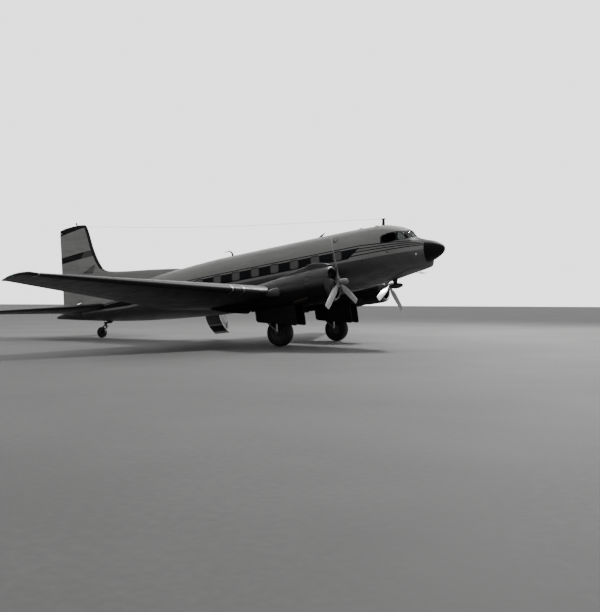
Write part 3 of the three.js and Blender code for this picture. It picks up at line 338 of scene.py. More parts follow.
class Flow:
    """A value that flows through a node tree, where each arithmetic sign adds one arithmetic node."""

    def __init__(self, socket):
        self.socket, self.tree = socket, socket.id_data

    def __add__(self, other):
        return calc("ADD", self, other)

    def __radd__(self, other):
        return calc("ADD", other, self)

    def __sub__(self, other):
        return calc("SUBTRACT", self, other)

    def __rsub__(self, other):
        return calc("SUBTRACT", other, self)

    def __mul__(self, other):
        return calc("MULTIPLY", self, other)

    def __truediv__(self, other):
        return calc("DIVIDE", self, other)

    def __abs__(self):
        return calc("ABSOLUTE", self)


def fill(socket, value):
    """Joins a socket to a value that flows, or sets it to a plain value."""
    if isinstance(value, Flow):
        value.tree.links.new(value.socket, socket)
    else:
        socket.default_value = value


def node(tree, kind, sockets=None, **settings):
    """A node of a kind with its settings and its sockets filled by name or number."""
    made = tree.nodes.new("ShaderNode" + kind)
    for name, value in settings.items():
        setattr(made, name, value)
    for key, value in (sockets or {}).items():
        fill(made.inputs[key], value)
    return made


def read(tree, kind, output=0, sockets=None, **settings):
    """The value of one output of a new node."""
    return Flow(node(tree, kind, sockets, **settings).outputs[output])


def calc(operation, *values):
    """The result of one arithmetic node."""
    tree = next(value.tree for value in values if isinstance(value, Flow))
    return read(tree, "Math", 0, dict(enumerate(values)), operation=operation)


def split(vector):
    """The three numbers of a vector."""
    return [Flow(output) for output in node(vector.tree, "SeparateXYZ", {0: vector}).outputs]


def blend(factor, *colours):
    """Two colours mixed by a factor."""
    made = node(factor.tree, "Mix", {0: factor}, data_type="RGBA", blend_type="MIX")
    for socket, colour in zip([socket for socket in made.inputs if socket.type == "RGBA"], colours):
        fill(socket, (*colour, 1) if isinstance(colour, tuple) else colour)
    return Flow([socket for socket in made.outputs if socket.type == "RGBA"][0])


def step(value, low, high, start=0.0, end=1.0, kind="SMOOTHSTEP"):
    """A value carried from start to end while another runs from low to high."""
    return read(value.tree, "MapRange", 0, {0: value, 1: low, 2: high, 3: start, 4: end}, clamp=True,
                interpolation_type=kind)


def fall(value, low, high):
    """A step down from 1 to 0 while a value runs from low to high."""
    return step(value, low, high, 1.0, 0.0)


def noise(vector, scale, detail=3.0, roughness=0.55, stretch=None):
    """Fractal noise from 0 to 1, stretched along an axis where a stretch is given."""
    if stretch:
        vector = read(vector.tree, "Mapping", 0, {"Vector": vector, "Scale": stretch})
    return read(vector.tree, "TexNoise", "Fac", {"Vector": vector, "Scale": scale, "Detail": detail,
                                                 "Roughness": roughness})


def course(value, points):
    """A broken line through (position, height) points, as a sum of straight ramps."""
    total = points[0][1]
    for (start, low), (end, high) in zip(points[:-1], points[1:]):
        total = total + step(value, start, end, 0.0, high - low, "LINEAR")
    return total


def group_of(name, inputs, outputs):
    """An empty node group with named number inputs and named outputs."""
    tree = bpy.data.node_groups.new(name, "ShaderNodeTree")
    for label, default in inputs.items():
        tree.interface.new_socket(label, in_out="INPUT", socket_type="NodeSocketFloat").default_value = default
    for label in outputs:
        tree.interface.new_socket(label, in_out="OUTPUT", socket_type="NodeSocketFloat")
    given = {output.name: Flow(output) for output in tree.nodes.new("NodeGroupInput").outputs}
    return tree, given, tree.nodes.new("NodeGroupOutput").inputs


def use(tree, group, **values):
    """Places a group in a material, fills its inputs and gives its outputs by name."""
    sockets = {name.replace("_", " "): value for name, value in values.items()}
    return {output.name: Flow(output) for output in node(tree, "Group", sockets, node_tree=group).outputs}


# %% [markdown]
# ## Effects shared by many finishes
# Three effects turn up on nearly every surface. The first gives a surface its aircraft station, so that
# stripes run true over several skins. The second draws riveted panels: seams between sheets, rows of
# rivet heads beside them, and a slightly different tone on each sheet. The third is weather, as blotches,
# streaks and fine grain. Each is a node group, built once and placed with its own values.
# %% Build the shared node groups
SEAM_HALF, RIVET_ROW = (0.0015, 0.004), 0.014  # metres from the seam


def station_group():
    """Aircraft station of a surface point: the parked frame turned back about the main axle."""
    tree, _, out = group_of("aircraft station", {}, ["S", "Y", "H"])
    turn = np.array([[np.cos(PARK_PITCH), 0, np.sin(PARK_PITCH)], [0, 1, 0],
                     [-np.sin(PARK_PITCH), 0, np.cos(PARK_PITCH)]])
    x, y, z = split(read(tree, "Mapping", 0, {
        "Vector": read(tree, "TexCoord", "Object"), "Location": tuple(-turn @ AXLE_ROW),
        "Rotation": (0, float(PARK_PITCH), 0)}))
    fill(out["S"], AXLE_S - x)
    fill(out["Y"], y + float(AXLE_ROW[1]))
    fill(out["H"], z + AXLE_H)
    return tree


def panel_group():
    """Riveted sheets in metres: distance to the nearest seam, rivets beside it, and a tone per sheet."""
    tree, given, out = group_of("riveted panels", {"Length": 1.2, "Width": 0.5, "Rivet pitch": 0.03,
                                                   "Rivet size": 0.0035}, ["Seam", "Rivet", "Tone"])
    x, y, _ = split(read(tree, "UVMap", uv_map="skin"))
    pitch = given["Rivet pitch"]
    seams, rivets, cells = [], [], []
    for here, other, size in [(x, y, given["Length"]), (y, x, given["Width"])]:
        cell = here / size
        cells.append(calc("FLOOR", cell))
        away = abs((calc("FRACT", cell + 0.5) - 0.5) * size)
        seams.append(fall(away, *SEAM_HALF))
        row = away - RIVET_ROW
        spot = (calc("FRACT", other / pitch) - 0.5) * pitch
        rivets.append(fall(calc("SQRT", row * row + spot * spot) / given["Rivet size"], 0.5, 1.1))
    corner = read(tree, "CombineXYZ", 0, dict(enumerate(cells)))
    fill(out["Seam"], calc("MAXIMUM", *seams))
    fill(out["Rivet"], calc("MAXIMUM", *rivets))
    fill(out["Tone"], read(tree, "TexWhiteNoise", "Value", {"Vector": corner}, noise_dimensions="2D"))
    return tree


def weather_group():
    """Blotches, streaks that run aft, and fine grain, each from 0 to 1, read off object coordinates."""
    tree, given, out = group_of("weather", {"Scale": 1.0}, ["Blotch", "Streak", "Grain"])
    scaled = read(tree, "VectorMath", 0, {0: read(tree, "TexCoord", "Object"), "Scale": given["Scale"]},
                  operation="SCALE")
    fill(out["Blotch"], step(noise(scaled, 1.3, 5), 0.35, 0.68))
    fill(out["Streak"], step(noise(scaled, 1.0, 4, 0.6, (0.7, 5.0, 5.0)), 0.42, 0.7))
    fill(out["Grain"], noise(scaled, 60.0, 2, 0.5))
    return tree


STATION, PANELS, WEATHER = station_group(), panel_group(), weather_group()
print("shared groups:", [group.name for group in (STATION, PANELS, WEATHER)])


def finish(name, slot, scale, roughness=0.5, metallic=0.0, **values):
    """A new material with its shader's inputs and its weather; the slot argument is not used."""
    material = bpy.data.materials.new(name)
    material.use_nodes = True
    tree = material.node_tree
    sockets = tree.nodes["Principled BSDF"].inputs
    for label, value in {"Roughness": roughness, "Metallic": metallic, **values}.items():
        sockets[label.replace("_", " ")].default_value = value
    return material, tree, sockets, use(tree, WEATHER, Scale=scale)


def wear(sockets, colour, roughness=None, metallic=None):
    """Joins what varies over a surface to its shader."""
    for label, value in (("Base Color", colour), ("Roughness", roughness), ("Metallic", metallic)):
        if value is not None:
            fill(sockets[label], value)


def relief(sockets, height, distance=0.003, strength=0.5):
    """Feeds a height to the shader's normal through a bump node."""
    fill(sockets["Normal"], read(height.tree, "Bump", 0, {"Strength": strength, "Distance": distance,
                                                          "Height": height}))


def sheet_relief(sockets, panels, weather, strength=0.5):
    """Seams sunk, rivet heads raised and the sheets very slightly uneven."""
    relief(sockets, panels["Rivet"] * 0.25 - panels["Seam"] + weather["Blotch"] * 0.35, 0.0022, strength)


def shade(colour, share):
    """A colour made darker or paler by a share."""
    return tuple(share * value for value in colour)


PALE_PAINT, FIN_PAINT, BAND_AND_SHADE_PAINT = (0.40, 0.40, 0.392), (0.50, 0.50, 0.49), (0.020, 0.021, 0.024)
# WING_METAL, on the wings and tailplane, is a darker copy of the bare metal: painted shade for their undersides.
BARE_METAL, WING_METAL, DULL_METAL = (0.17, 0.17, 0.173), (0.100, 0.100, 0.103), (0.125, 0.125, 0.128)
SURROUND_PAINT, ANTIGLARE_AND_SHADE_PAINT = (0.018, 0.018, 0.019), (0.085, 0.085, 0.085)
STREAK_TINT, FIN_DIRT, UNDERSIDE_SHADE, DUST = (0.055, 0.054, 0.050), (0.13, 0.128, 0.12), (0.008, 0.008, 0.008), (0.06, 0.058, 0.053)
SEAM_TINT, FIN_SEAM_TINT, FADED_BAND = (0.05, 0.05, 0.05), (0.09, 0.09, 0.09), (0.15, 0.15, 0.15)

# Edges of the painted fields, each as (station, height) points
BAND_TOP = [(3.25, 0.516), (11.3, 0.516), (15.5, 0.32), (19.2, 0.21)]
BAND_FOOT = [(3.55, 0.12), (11.3, 0.10), (15.5, 0.01), (19.2, 0.20)]
STRIPES = [
    [(0.90, 0.415), (1.9, 0.50), (3.2, 0.590), (11.3, 0.585), (15.5, 0.375), (19.2, 0.235)],
    [(0.90, 0.350), (1.9, 0.41), (3.2, 0.470), (3.55, 0.472)],
    [(0.90, 0.285), (1.9, 0.32), (3.2, 0.350), (3.65, 0.350)],
    [(0.90, 0.215), (1.9, 0.22), (3.2, 0.215), (3.8, 0.205)]]
STRIPE_WIDTH = 0.042
SURROUND_TOP = [(0.95, 0.95), (1.20, 0.955), (1.45, 0.93), (1.70, 0.955), (2.05, 0.93), (2.31, 0.83)]
SURROUND_FOOT = [(0.95, 0.60), (1.33, 0.55), (1.72, 0.535), (2.20, 0.515), (2.31, 0.53)]
GLARE_FOOT = [(0.70, 0.330), (0.95, 0.470), (1.15, 0.600), (1.35, 0.700)]
CHIN_FACE = 0.702  # the nose shell's front face ends here


def livery(s, h):
    """Masks of the paint scheme: 1 in the dark band or a stripe, and 1 above the paint's lower edge."""
    foot = h - course(s, BAND_FOOT)
    inside = calc("MINIMUM", step(course(s, BAND_TOP) - h, 0.0, 0.006), step(foot, 0.0, 0.006))
    dark = inside * step(s + h * 1.4, 3.91, 3.92)
    for stripe in STRIPES:
        start, end = stripe[0][0], stripe[-1][0]
        line = fall(abs(h - course(s, stripe)), STRIPE_WIDTH / 2 - 0.005, STRIPE_WIDTH / 2 + 0.003)
        ends = step(s, start - 0.2, start - 0.19) * fall(s, end, end + 0.02)
        dark = calc("MAXIMUM", dark, line * ends)
    return dark, step(foot, -0.10, -0.092)


def deck_surround(s, h):
    """Mask of the dark frame that surrounds the flight deck windows."""
    below = step(course(s, SURROUND_TOP) - h, 0.0, 0.008)
    above = step(h - course(s, SURROUND_FOOT), 0.0, 0.008)
    return calc("MINIMUM", below, above) * (fall(s, 2.31, 2.318) * step(s, 0.93, 0.94))


def fuselage_finish():
    """Pale crown paint, dark band and stripes, and bare riveted metal below the paint's edge."""
    material, tree, sockets, weather = finish("fuselage_skin", "painted_skin", 1.0, Specular_IOR_Level=0.03)
    panels = use(tree, PANELS, Length=1.04, Width=0.42, Rivet_pitch=0.028)
    s, _, h = use(tree, STATION).values()
    dark, painted = livery(s, h)
    coat = blend(panels["Tone"] * 0.5, PALE_PAINT, shade(PALE_PAINT, 0.92))
    coat = blend(dark, coat, BAND_AND_SHADE_PAINT)
    # Anti-glare panel on the nose top, partly painted shade: dark enough to take the key light's highlight off it.
    coat = blend(step(h - course(s, GLARE_FOOT), 0.0, 0.01) * fall(s, 1.34, 1.36), coat, ANTIGLARE_AND_SHADE_PAINT)
    coat = blend(deck_surround(s, h), coat, SURROUND_PAINT)
    # The flat front face of the nose shell is painted near-black and unmetallic: painted shade that hides its
    # reflection.
    chin_shade = fall(s, CHIN_FACE, CHIN_FACE + 0.005)
    painted = calc("MAXIMUM", painted, chin_shade)
    metal = blend(panels["Tone"], shade(BARE_METAL, 0.93), shade(BARE_METAL, 1.07))
    # Dark streaks low on the body, dirt and painted shade: strongest low and ahead of station 8.5, lighter aft of 11.5
    # where lit.
    dark_streaks = weather["Streak"] * (step(h, -0.9, -0.2, 1.0, 0.25) * step(s, 8.5, 11.5, 1.0, 0.3)) * 0.6
    tint = blend(dark_streaks, blend(painted, metal, blend(chin_shade, coat, BAND_AND_SHADE_PAINT)), STREAK_TINT)
    tint = blend(panels["Seam"] * 0.55, tint, SEAM_TINT)
    wear(sockets, tint, 0.36 + painted * 0.14 + weather["Blotch"] * 0.12 + dark_streaks * 0.3,
         (1.0 - painted) * (0.85 - dark_streaks))
    sheet_relief(sockets, panels, weather, 0.45)
    return material


def door_finish():
    """The entry door's outer skin: the fuselage's paints by height, read off the skin's own lengths."""
    material, tree, sockets, weather = finish("door_paint", "painted_skin", 2.0, Specular_IOR_Level=0.06)
    panels = use(tree, PANELS, Length=0.46, Width=0.40, Rivet_pitch=0.028)
    height = split(read(tree, "UVMap", uv_map="skin"))[0]
    dark = step(height, 0.09, 0.095) * fall(height, 0.505, 0.51)
    painted = step(height, -0.01, -0.005)
    metal = blend(panels["Tone"], shade(BARE_METAL, 0.8), BARE_METAL)
    tint = blend(painted, metal, blend(dark, PALE_PAINT, BAND_AND_SHADE_PAINT))
    wear(sockets, blend(weather["Streak"] * 0.5, tint, STREAK_TINT), 0.36 + weather["Blotch"] * 0.2,
         (1.0 - painted) * 0.8)
    sheet_relief(sockets, panels, weather, 0.45)
    return material


# %% [markdown]
# The fin and rudder share the pale paint, with a dark cap, a slanted dark band whose front part is paler,
# and a small dark flash near the foot. The fabric of the rudder, elevators and ailerons shows its ribs as
# low ridges. Rubber, glass, tyres and cast parts follow, each with the wear that such a part gets.
# %% Mix the other finishes
FIN_BAND, FIN_BAND_HALF = [(17.8, 3.07), (20.1, 3.01)], (0.152, 0.158)
FIN_CAP = [(18.2, 4.43), (19.9, 4.29)]
FLASH_TOP, FLASH_FOOT = [(17.86, 2.44), (18.62, 2.13)], [(18.05, 2.02), (18.62, 2.13)]


def fin_finish(name, rib_pitch=0.0):
    """Pale paint with the fin's dark cap, slanted band and flash; ribs are raised where a pitch is given."""
    material, tree, sockets, weather = finish(name, "painted_skin", 1.2, Specular_IOR_Level=0.08)
    panels = use(tree, PANELS, Length=0.8, Width=0.6, Rivet_pitch=0.03)
    s, _, h = use(tree, STATION).values()
    band = fall(abs(h - course(s, FIN_BAND)), *FIN_BAND_HALF)
    flash = fall(h - course(s, FLASH_TOP), 0.0, 0.01) * step(h - course(s, FLASH_FOOT), 0.0, 0.01)
    flash = flash * step(h * 0.5 - (18.96 - s), 0.0, 0.01) * fall(s, 18.60, 18.62)
    tint = blend(panels["Tone"] * 0.4, FIN_PAINT, shade(FIN_PAINT, 0.9))
    for mask, colour in ((band, BAND_AND_SHADE_PAINT), (band * fall(s + h * 0.80, 20.93, 20.95), FADED_BAND),
                         (flash * step(s, 18.15, 18.75, 0.55, 0.9), BAND_AND_SHADE_PAINT),
                         (step(h - course(s, FIN_CAP), 0.0, 0.01), BAND_AND_SHADE_PAINT),
                         (weather["Streak"] * 0.28, FIN_DIRT),
                         (panels["Seam"] * (0.0 if rib_pitch else 0.45), FIN_SEAM_TINT)):
        tint = blend(mask, tint, colour)
    wear(sockets, tint, 0.42 + weather["Blotch"] * 0.16)
    if rib_pitch:
        ribs(sockets, h, weather, rib_pitch)
    else:
        sheet_relief(sockets, panels, weather, 0.4)
    return material


def ribs(sockets, along, weather, pitch):
    """Doped fabric: a low ridge over each rib, with the cloth sagging between ribs, and its fine weave."""
    away = abs(calc("FRACT", along / pitch) - 0.5)
    relief(sockets, fall(away, 0.0, 0.5) * 1.5 + fall(away, 0.04, 0.075) * 0.5 + weather["Grain"] * 0.12, 0.004, 0.5)


def fabric_surface(name, colour, pitch, metallic=0.35):
    """Silver-doped fabric of a control surface, ribbed across its span."""
    material, tree, sockets, weather = finish(name, "bare_metal", 1.5)
    dark_streaks = weather["Streak"] * 0.45
    wear(sockets, blend(dark_streaks, colour, shade(colour, 0.5)), 0.46 + weather["Blotch"] * 0.15, metallic - dark_streaks * 0.2)
    ribs(sockets, use(tree, STATION)["Y"], weather, pitch)
    return material


def sheet_metal(name, colour, length, width, metallic=0.85, roughness=0.34, dirt=0.5, gloss=0.3, shade_heights=()):
    """Riveted bare sheet: each sheet has its own tone, seams are dark, and dirt streaks run aft.

    Shade heights, where given, are the pair of heights between which the painted shade below them fades out.
    """
    material, tree, sockets, weather = finish(name, "bare_metal", 1.0, Specular_IOR_Level=gloss)
    panels = use(tree, PANELS, Length=length, Width=width)
    dark_streaks = weather["Streak"] * dirt
    tint = blend(panels["Tone"], shade(colour, 0.84), shade(colour, 1.12))
    tint = blend(dark_streaks, tint, shade(colour, 0.55))
    tint = blend(panels["Seam"] * 0.7, tint, shade(colour, 0.25))
    # Painted shade: below the given heights the colour fades to near-black.
    if shade_heights:
        tint = blend(step(use(tree, STATION)["H"], *shade_heights, 0.9, 0.0), tint, UNDERSIDE_SHADE)
    wear(sockets, tint, roughness + panels["Tone"] * 0.08 + dark_streaks * 0.28 + weather["Grain"] * 0.05,
         metallic - dark_streaks * 0.3)
    sheet_relief(sockets, panels, weather)
    return material


def cast_metal(name, slot, colour, metallic, roughness, scale=6.0, worn=0.4, height=0.25):
    """Smaller metal parts: mottled colour, uneven gloss and a fine grain in the surface."""
    material, _, sockets, weather = finish(name, slot, scale)
    amount = weather["Blotch"] * worn
    wear(sockets, blend(amount, colour, shade(colour, 0.5)), roughness + amount * 0.3, metallic - amount * 0.2)
    relief(sockets, weather["Grain"], 0.001, height)
    return material


def rubber_finish(name, slot, colour, roughness, dust=0.3, scale=3.0, gloss=0.5, worn=(DUST, 0.25),
                  grain=(0.0008, 0.35)):
    """Black rubber, dusty or scuffed in patches, with a fine pitted surface."""
    material, _, sockets, weather = finish(name, slot, scale, Specular_IOR_Level=gloss)
    dusty = weather["Blotch"] * dust
    wear(sockets, blend(dusty, colour, worn[0]), roughness + dusty * worn[1])
    relief(sockets, weather["Grain"], *grain)
    return material


def clear_glass(name, tint):
    """Thin clear glazing: light passes almost straight through and the surface stays glossy."""
    material, _, sockets, weather = finish(name, "window_glass", 2.0, 0.03, Transmission_Weight=1.0, IOR=1.1)
    wear(sockets, blend(weather["Streak"] * 0.25, tint, shade(tint, 0.8)))
    return material


def shaded_curtain_pane():
    """Cabin window: glossy glass over a pale curtain, dark grey and uneven from painted shade and painted light on its
    pleats.
    """
    material, tree, sockets, weather = finish("cabin_pane", "window_glass", 3.0, 0.08, Coat_Weight=1.0,
                                              Coat_Roughness=0.03)
    # Painted shade: the pale curtain is dark grey, with painted light and shade across its pleats.
    pleat_shade = calc("SINE", use(tree, STATION)["S"] * 150.0)
    tint = blend((pleat_shade + 1.0) * 0.22, (0.100, 0.100, 0.096), (0.058, 0.058, 0.057))
    wear(sockets, blend(weather["Blotch"] * 0.5, tint, (0.12, 0.12, 0.115)))
    return material


def blade_finish():
    """Satin bare blade: fine scratches run along it, over blotches of darker metal."""
    material, tree, sockets, weather = finish("blade_alloy", "propeller_alloy", 4.0)
    scratch = noise(read(tree, "TexCoord", "Object"), 90.0, 2, 0.7, (1.0, 1.0, 0.06))
    amount = weather["Blotch"] * 0.35
    wear(sockets, blend(amount, (0.44, 0.44, 0.44), (0.30, 0.30, 0.295)), 0.24 + scratch * 0.22, 0.95 - amount * 0.2)
    relief(sockets, scratch, 0.0005, 0.25)
    return material


def lens(name, colour, glow):
    """A small coloured lamp lens, glossy and faintly lit from inside."""
    material, _, sockets, weather = finish(name, "window_glass", 40.0, 0.1, Coat_Weight=1.0,
                                           Emission_Color=(*colour, 1), Emission_Strength=glow)
    wear(sockets, blend(weather["Blotch"], colour, shade(colour, 0.7)))
    return material


SKIN = fuselage_finish()
FIN_SKIN = fin_finish("fin_skin")
RUDDER_SKIN = fin_finish("rudder_fabric", 0.36)
WING_SKIN = sheet_metal("wing_skin", WING_METAL, 1.05, 0.36, 0.7, 0.4)
BAND = cast_metal("band_paint", "painted_skin", BAND_AND_SHADE_PAINT, 0.0, 0.4, 5.0, 0.3)
# The nacelle metal carries painted shade below its widest line, which darkens the lower cowl and the gear doors.
COWL_SKIN = sheet_metal("nacelle_skin", DULL_METAL, 0.62, 0.48, 0.35, 0.5, 0.8, 0.15, (-1.02, -0.72))
TAIL_SKIN = sheet_metal("tailplane_skin", WING_METAL, 0.7, 0.34, 0.7, 0.4)
CONE_SKIN = sheet_metal("door_metal", DULL_METAL, 0.5, 0.4, dirt=0.7)
BRIGHT = cast_metal("bright_strip", "bare_metal", (0.42, 0.42, 0.42), 0.9, 0.3, 3.0, 0.3)
# The cowl lip's dark colour is partly painted shade.
LIP_METAL = cast_metal("cowl_lip_metal", "bare_metal", (0.10, 0.10, 0.102), 0.7, 0.42, 3.0, 0.4)
FABRIC = fabric_surface("doped_fabric", (0.12, 0.12, 0.123), 0.33)
BOOT = rubber_finish("black_boot", "black_coating", (0.006, 0.006, 0.0065), 0.55, 0.15)
RADOME = rubber_finish("radome_black", "black_coating", (0.005, 0.005, 0.0055), 0.6, 0.08, gloss=0.2)
GLASS = clear_glass("cockpit_glass", (0.46, 0.49, 0.49))
PANE = shaded_curtain_pane()
TYRE = rubber_finish("tyre_tread", "tyre_rubber", (0.008, 0.008, 0.008), 0.62, 0.55, 5.0,
                     worn=((0.024, 0.023, 0.022), 0.3), grain=(0.0012, 0.4))
BLADE = blade_finish()
HUB = cast_metal("hub_steel", "propeller_alloy", (0.40, 0.40, 0.40), 0.9, 0.3, 8.0)
WHEEL = cast_metal("wheel_casting", "wheel_alloy", (0.08, 0.08, 0.082), 0.6, 0.45, 7.0)
GEAR = cast_metal("gear_paint", "gear_steel", (0.08, 0.08, 0.082), 0.3, 0.45)
STRUT_PAINT = cast_metal("strut_paint", "gear_steel", (0.22, 0.22, 0.22), 0.5, 0.38)
CHROME = cast_metal("polished_piston", "gear_steel", (0.42, 0.42, 0.43), 1.0, 0.14, 5.0, 0.12, 0.1)
CASTING = cast_metal("crankcase_casting", "engine_steel", (0.16, 0.16, 0.165), 0.55, 0.5, 9.0)
FINS = cast_metal("cylinder_fins", "engine_steel", (0.05, 0.05, 0.05), 0.5, 0.55, 9.0)
ROD = cast_metal("pushrod_tube", "engine_steel", (0.5, 0.5, 0.5), 0.95, 0.28, 9.0)
LEAD = cast_metal("ignition_lead", "engine_steel", (0.050, 0.044, 0.036), 0.2, 0.55, 12.0)
LOOP_PAINT = cast_metal("loop_paint", "painted_skin", (0.036, 0.036, 0.037), 0.0, 0.5, 5.0, 0.3)
EXHAUST = cast_metal("burnt_exhaust", "engine_steel", (0.026, 0.019, 0.015), 0.3, 0.6, 10.0, 0.7)
COCKPIT = cast_metal("cockpit_green", "cockpit_paint", (0.10, 0.125, 0.095), 0.0, 0.6)
BLACK = cast_metal("black_fitting", "black_panel", (0.014, 0.014, 0.015), 0.1, 0.45, 10.0)
WELL = cast_metal("well_primer", "gear_steel", (0.055, 0.058, 0.050), 0.1, 0.6, 4.0)
STAIR_METAL = cast_metal("stair_metal", "bare_metal", (0.15, 0.15, 0.15), 0.7, 0.4, 5.0)
LINING = cast_metal("lobby_lining", "painted_skin", (0.36, 0.35, 0.32), 0.0, 0.6, 3.0, 0.25)
MAT = rubber_finish("floor_mat", "cockpit_paint", (0.03, 0.03, 0.028), 0.75, 0.5, 6.0)
LEATHER = rubber_finish("seat_leather", "seat_cloth", (0.085, 0.050, 0.030), 0.46, 0.15, 8.0)
DIAL = cast_metal("dial_face", "black_panel", (0.02, 0.02, 0.02), 0.0, 0.25, 12.0)
MARKS = cast_metal("dial_marks", "black_panel", (0.75, 0.75, 0.68), 0.0, 0.5, 12.0, 0.1)
DOOR_SKIN = door_finish()
RED_LENS = lens("red_lens", (0.5, 0.02, 0.02), 0.15)
GREEN_LENS = lens("green_lens", (0.02, 0.35, 0.1), 0.15)
LAMP = lens("lamp_glass", (0.75, 0.75, 0.72), 0.1)


# %% [markdown]
# ## The fuselage outline
# The body is an oval tube whose height, belly and width change along its length. A table of a few stations
# holds the measures, and a smooth curve runs between its rows, just as loftsmen faired their frames with
# a bent batten. The rings are fine enough that the skin reads as one smooth surface.
# %% Draw the fuselage outline
BODY = np.array([
    (0.7005, 0.463, -0.670, 0.665), (1.050, 0.630, -0.735, 0.830), (1.290, 0.970, -0.770, 0.915),
    (1.740, 1.210, -0.838, 1.035), (2.440, 1.390, -0.955, 1.150), (3.960, 1.440, -1.105, 1.240),
    (5.200, 1.445, -1.155, 1.255), (9.860, 1.440, -1.155, 1.255), (12.700, 1.340, -0.990, 1.130),
    (14.910, 1.190, -0.790, 0.900), (17.340, 0.950, -0.470, 0.560), (19.250, 0.640, -0.150, 0.270),
    (20.690, 0.250, 0.110, 0.060)])
RADOME_OUTLINE = np.array([
    (0.0, 0.006, -0.006, 0.006), (0.04, 0.110, -0.120, 0.120), (0.14, 0.215, -0.220, 0.235),
    (0.40, 0.360, -0.360, 0.440), (0.700, 0.460, -0.458, 0.605)])
RADOME_JOINT = 0.700
CABIN_FRONT, CONE_FRONT, TAIL_END = 3.300, 18.760, 20.690
WAIST = 0.48


def body_rings(table, stations, columns=96, inset=0.0, middle=0.0):
    """Oval rings: y = half width x cos a, height = waist + reach x sin a, with its own reach each way."""
    s = np.asarray(stations, float)
    top, belly, half = (between(table, column, s)[:, None] for column in (1, 2, 3))
    top, belly, half = top - inset, belly + inset, half - inset
    waist = belly + (top - belly) * WAIST
    angle = (np.arange(columns) + 0.5) * 2 * np.pi / columns
    reach = np.where(np.sin(angle) > 0, top - waist, waist - belly)
    y = middle + half * np.cos(angle)
    return np.stack([np.broadcast_to(s[:, None], y.shape), y, waist + reach * np.sin(angle)], -1)


def side_of_body(s, h, out=0.0):
    """Half width of the body at a station and height: the oval's y there, moved outwards."""
    top, belly, half = (between(BODY, column, s) for column in (1, 2, 3))
    waist = belly + (top - belly) * WAIST
    reach = np.where(h > waist, top - waist, waist - belly)
    return half * np.sqrt(np.clip(1 - ((h - waist) / reach) ** 2, 0, 1)) + out


def brow_of_body(y, h, out=0.0):
    """Station where the nose first reaches a height at an offset from the centre, moved forwards."""
    s = np.linspace(RADOME_JOINT + 0.01, 2.2, 500)
    top, belly, half = (between(BODY, column, s)[:, None] for column in (1, 2, 3))
    waist = belly + (top - belly) * WAIST
    height = waist + (top - waist) * np.sqrt(np.clip(1 - (np.ravel(y) / half) ** 2, 0, 1))
    first = np.clip(np.argmax(height >= np.ravel(h), axis=0), 1, len(s) - 1)
    column = np.arange(height.shape[1])
    low, high = height[first - 1, column], height[first, column]
    share = np.clip((np.ravel(h) - low) / np.where(high > low, high - low, 1), 0, 1)
    return (s[first - 1] + share * (s[1] - s[0])).reshape(np.shape(h)) - out


print("cabin half width at the windows:", float(side_of_body(8.0, 0.345)))

# %% [markdown]
# ## Outlines with round corners
# Windows, doors and hatches are polygons whose corners are rounded, since a sharp corner would start a
# crack. The rounding is a short curve at each corner. A window pane is then a set of such outlines that
# shrink towards the middle, laid against the skin, and its frame is a narrow ring that stands proud.
# %% Round the corners of an outline


def softened(corners, radius, steps=5):
    """Outline with each corner replaced by a quadratic curve that starts and ends a radius away."""
    corners = np.asarray(corners, float)
    before = np.roll(corners, 1, axis=0) - corners
    after = np.roll(corners, -1, axis=0) - corners
    before /= np.linalg.norm(before, axis=1)[:, None]
    after /= np.linalg.norm(after, axis=1)[:, None]
    t = np.linspace(0, 1, steps + 1)[None, :, None]
    start, end = (corners[:, None] + radius * way[:, None] for way in (before, after))
    return ((1 - t) ** 2 * start + 2 * t * (1 - t) * corners[:, None] + t ** 2 * end).reshape(-1, 2)


def pane_grid(outline, margin, rings=4):
    """Outlines shrinking to the middle, as (rings, columns, 2); a margin makes the outermost larger."""
    middle = outline.mean(0)
    away = outline - middle
    outer = outline + margin * away / np.linalg.norm(away, axis=1)[:, None]
    share = np.linspace(0, 1, rings + 1)[:, None, None]
    return middle + share * (outer - middle)


def frame_grid(outline, width):
    """Four outlines across a window frame: inner foot, inner crest, outer crest and outer foot."""
    middle = outline.mean(0)
    away = outline - middle
    away /= np.linalg.norm(away, axis=1)[:, None]
    reach = np.array([-0.004, 0.002, width, width + 0.006])[:, None, None]
    return outline + reach * away


FRAME_OUT = np.array([-0.022, 0.005, 0.005, -0.004])[:, None]


def on_side(grid, out, side=1):
    """Points (station, height) of a grid laid on the side of the body."""
    return np.stack([grid[..., 0], side * side_of_body(grid[..., 0], grid[..., 1], out), grid[..., 1]], -1)


def on_brow(grid, out, side=1):
    """Points (offset, height) of a grid laid on the sloping brow in front of the crew."""
    return np.stack([brow_of_body(grid[..., 0], grid[..., 1], out), side * grid[..., 0], grid[..., 1]], -1)


def both_ways(shape):
    """A shape together with its mirror image."""
    return join(shape, mirrored(shape))


def prism(outline, depth, axis):
    """An outline carried between two depths along the station (axis 0) or span (axis 1)."""
    rings = np.stack([np.insert(outline, axis, value, axis=1) for value in depth])
    return loft(rings)


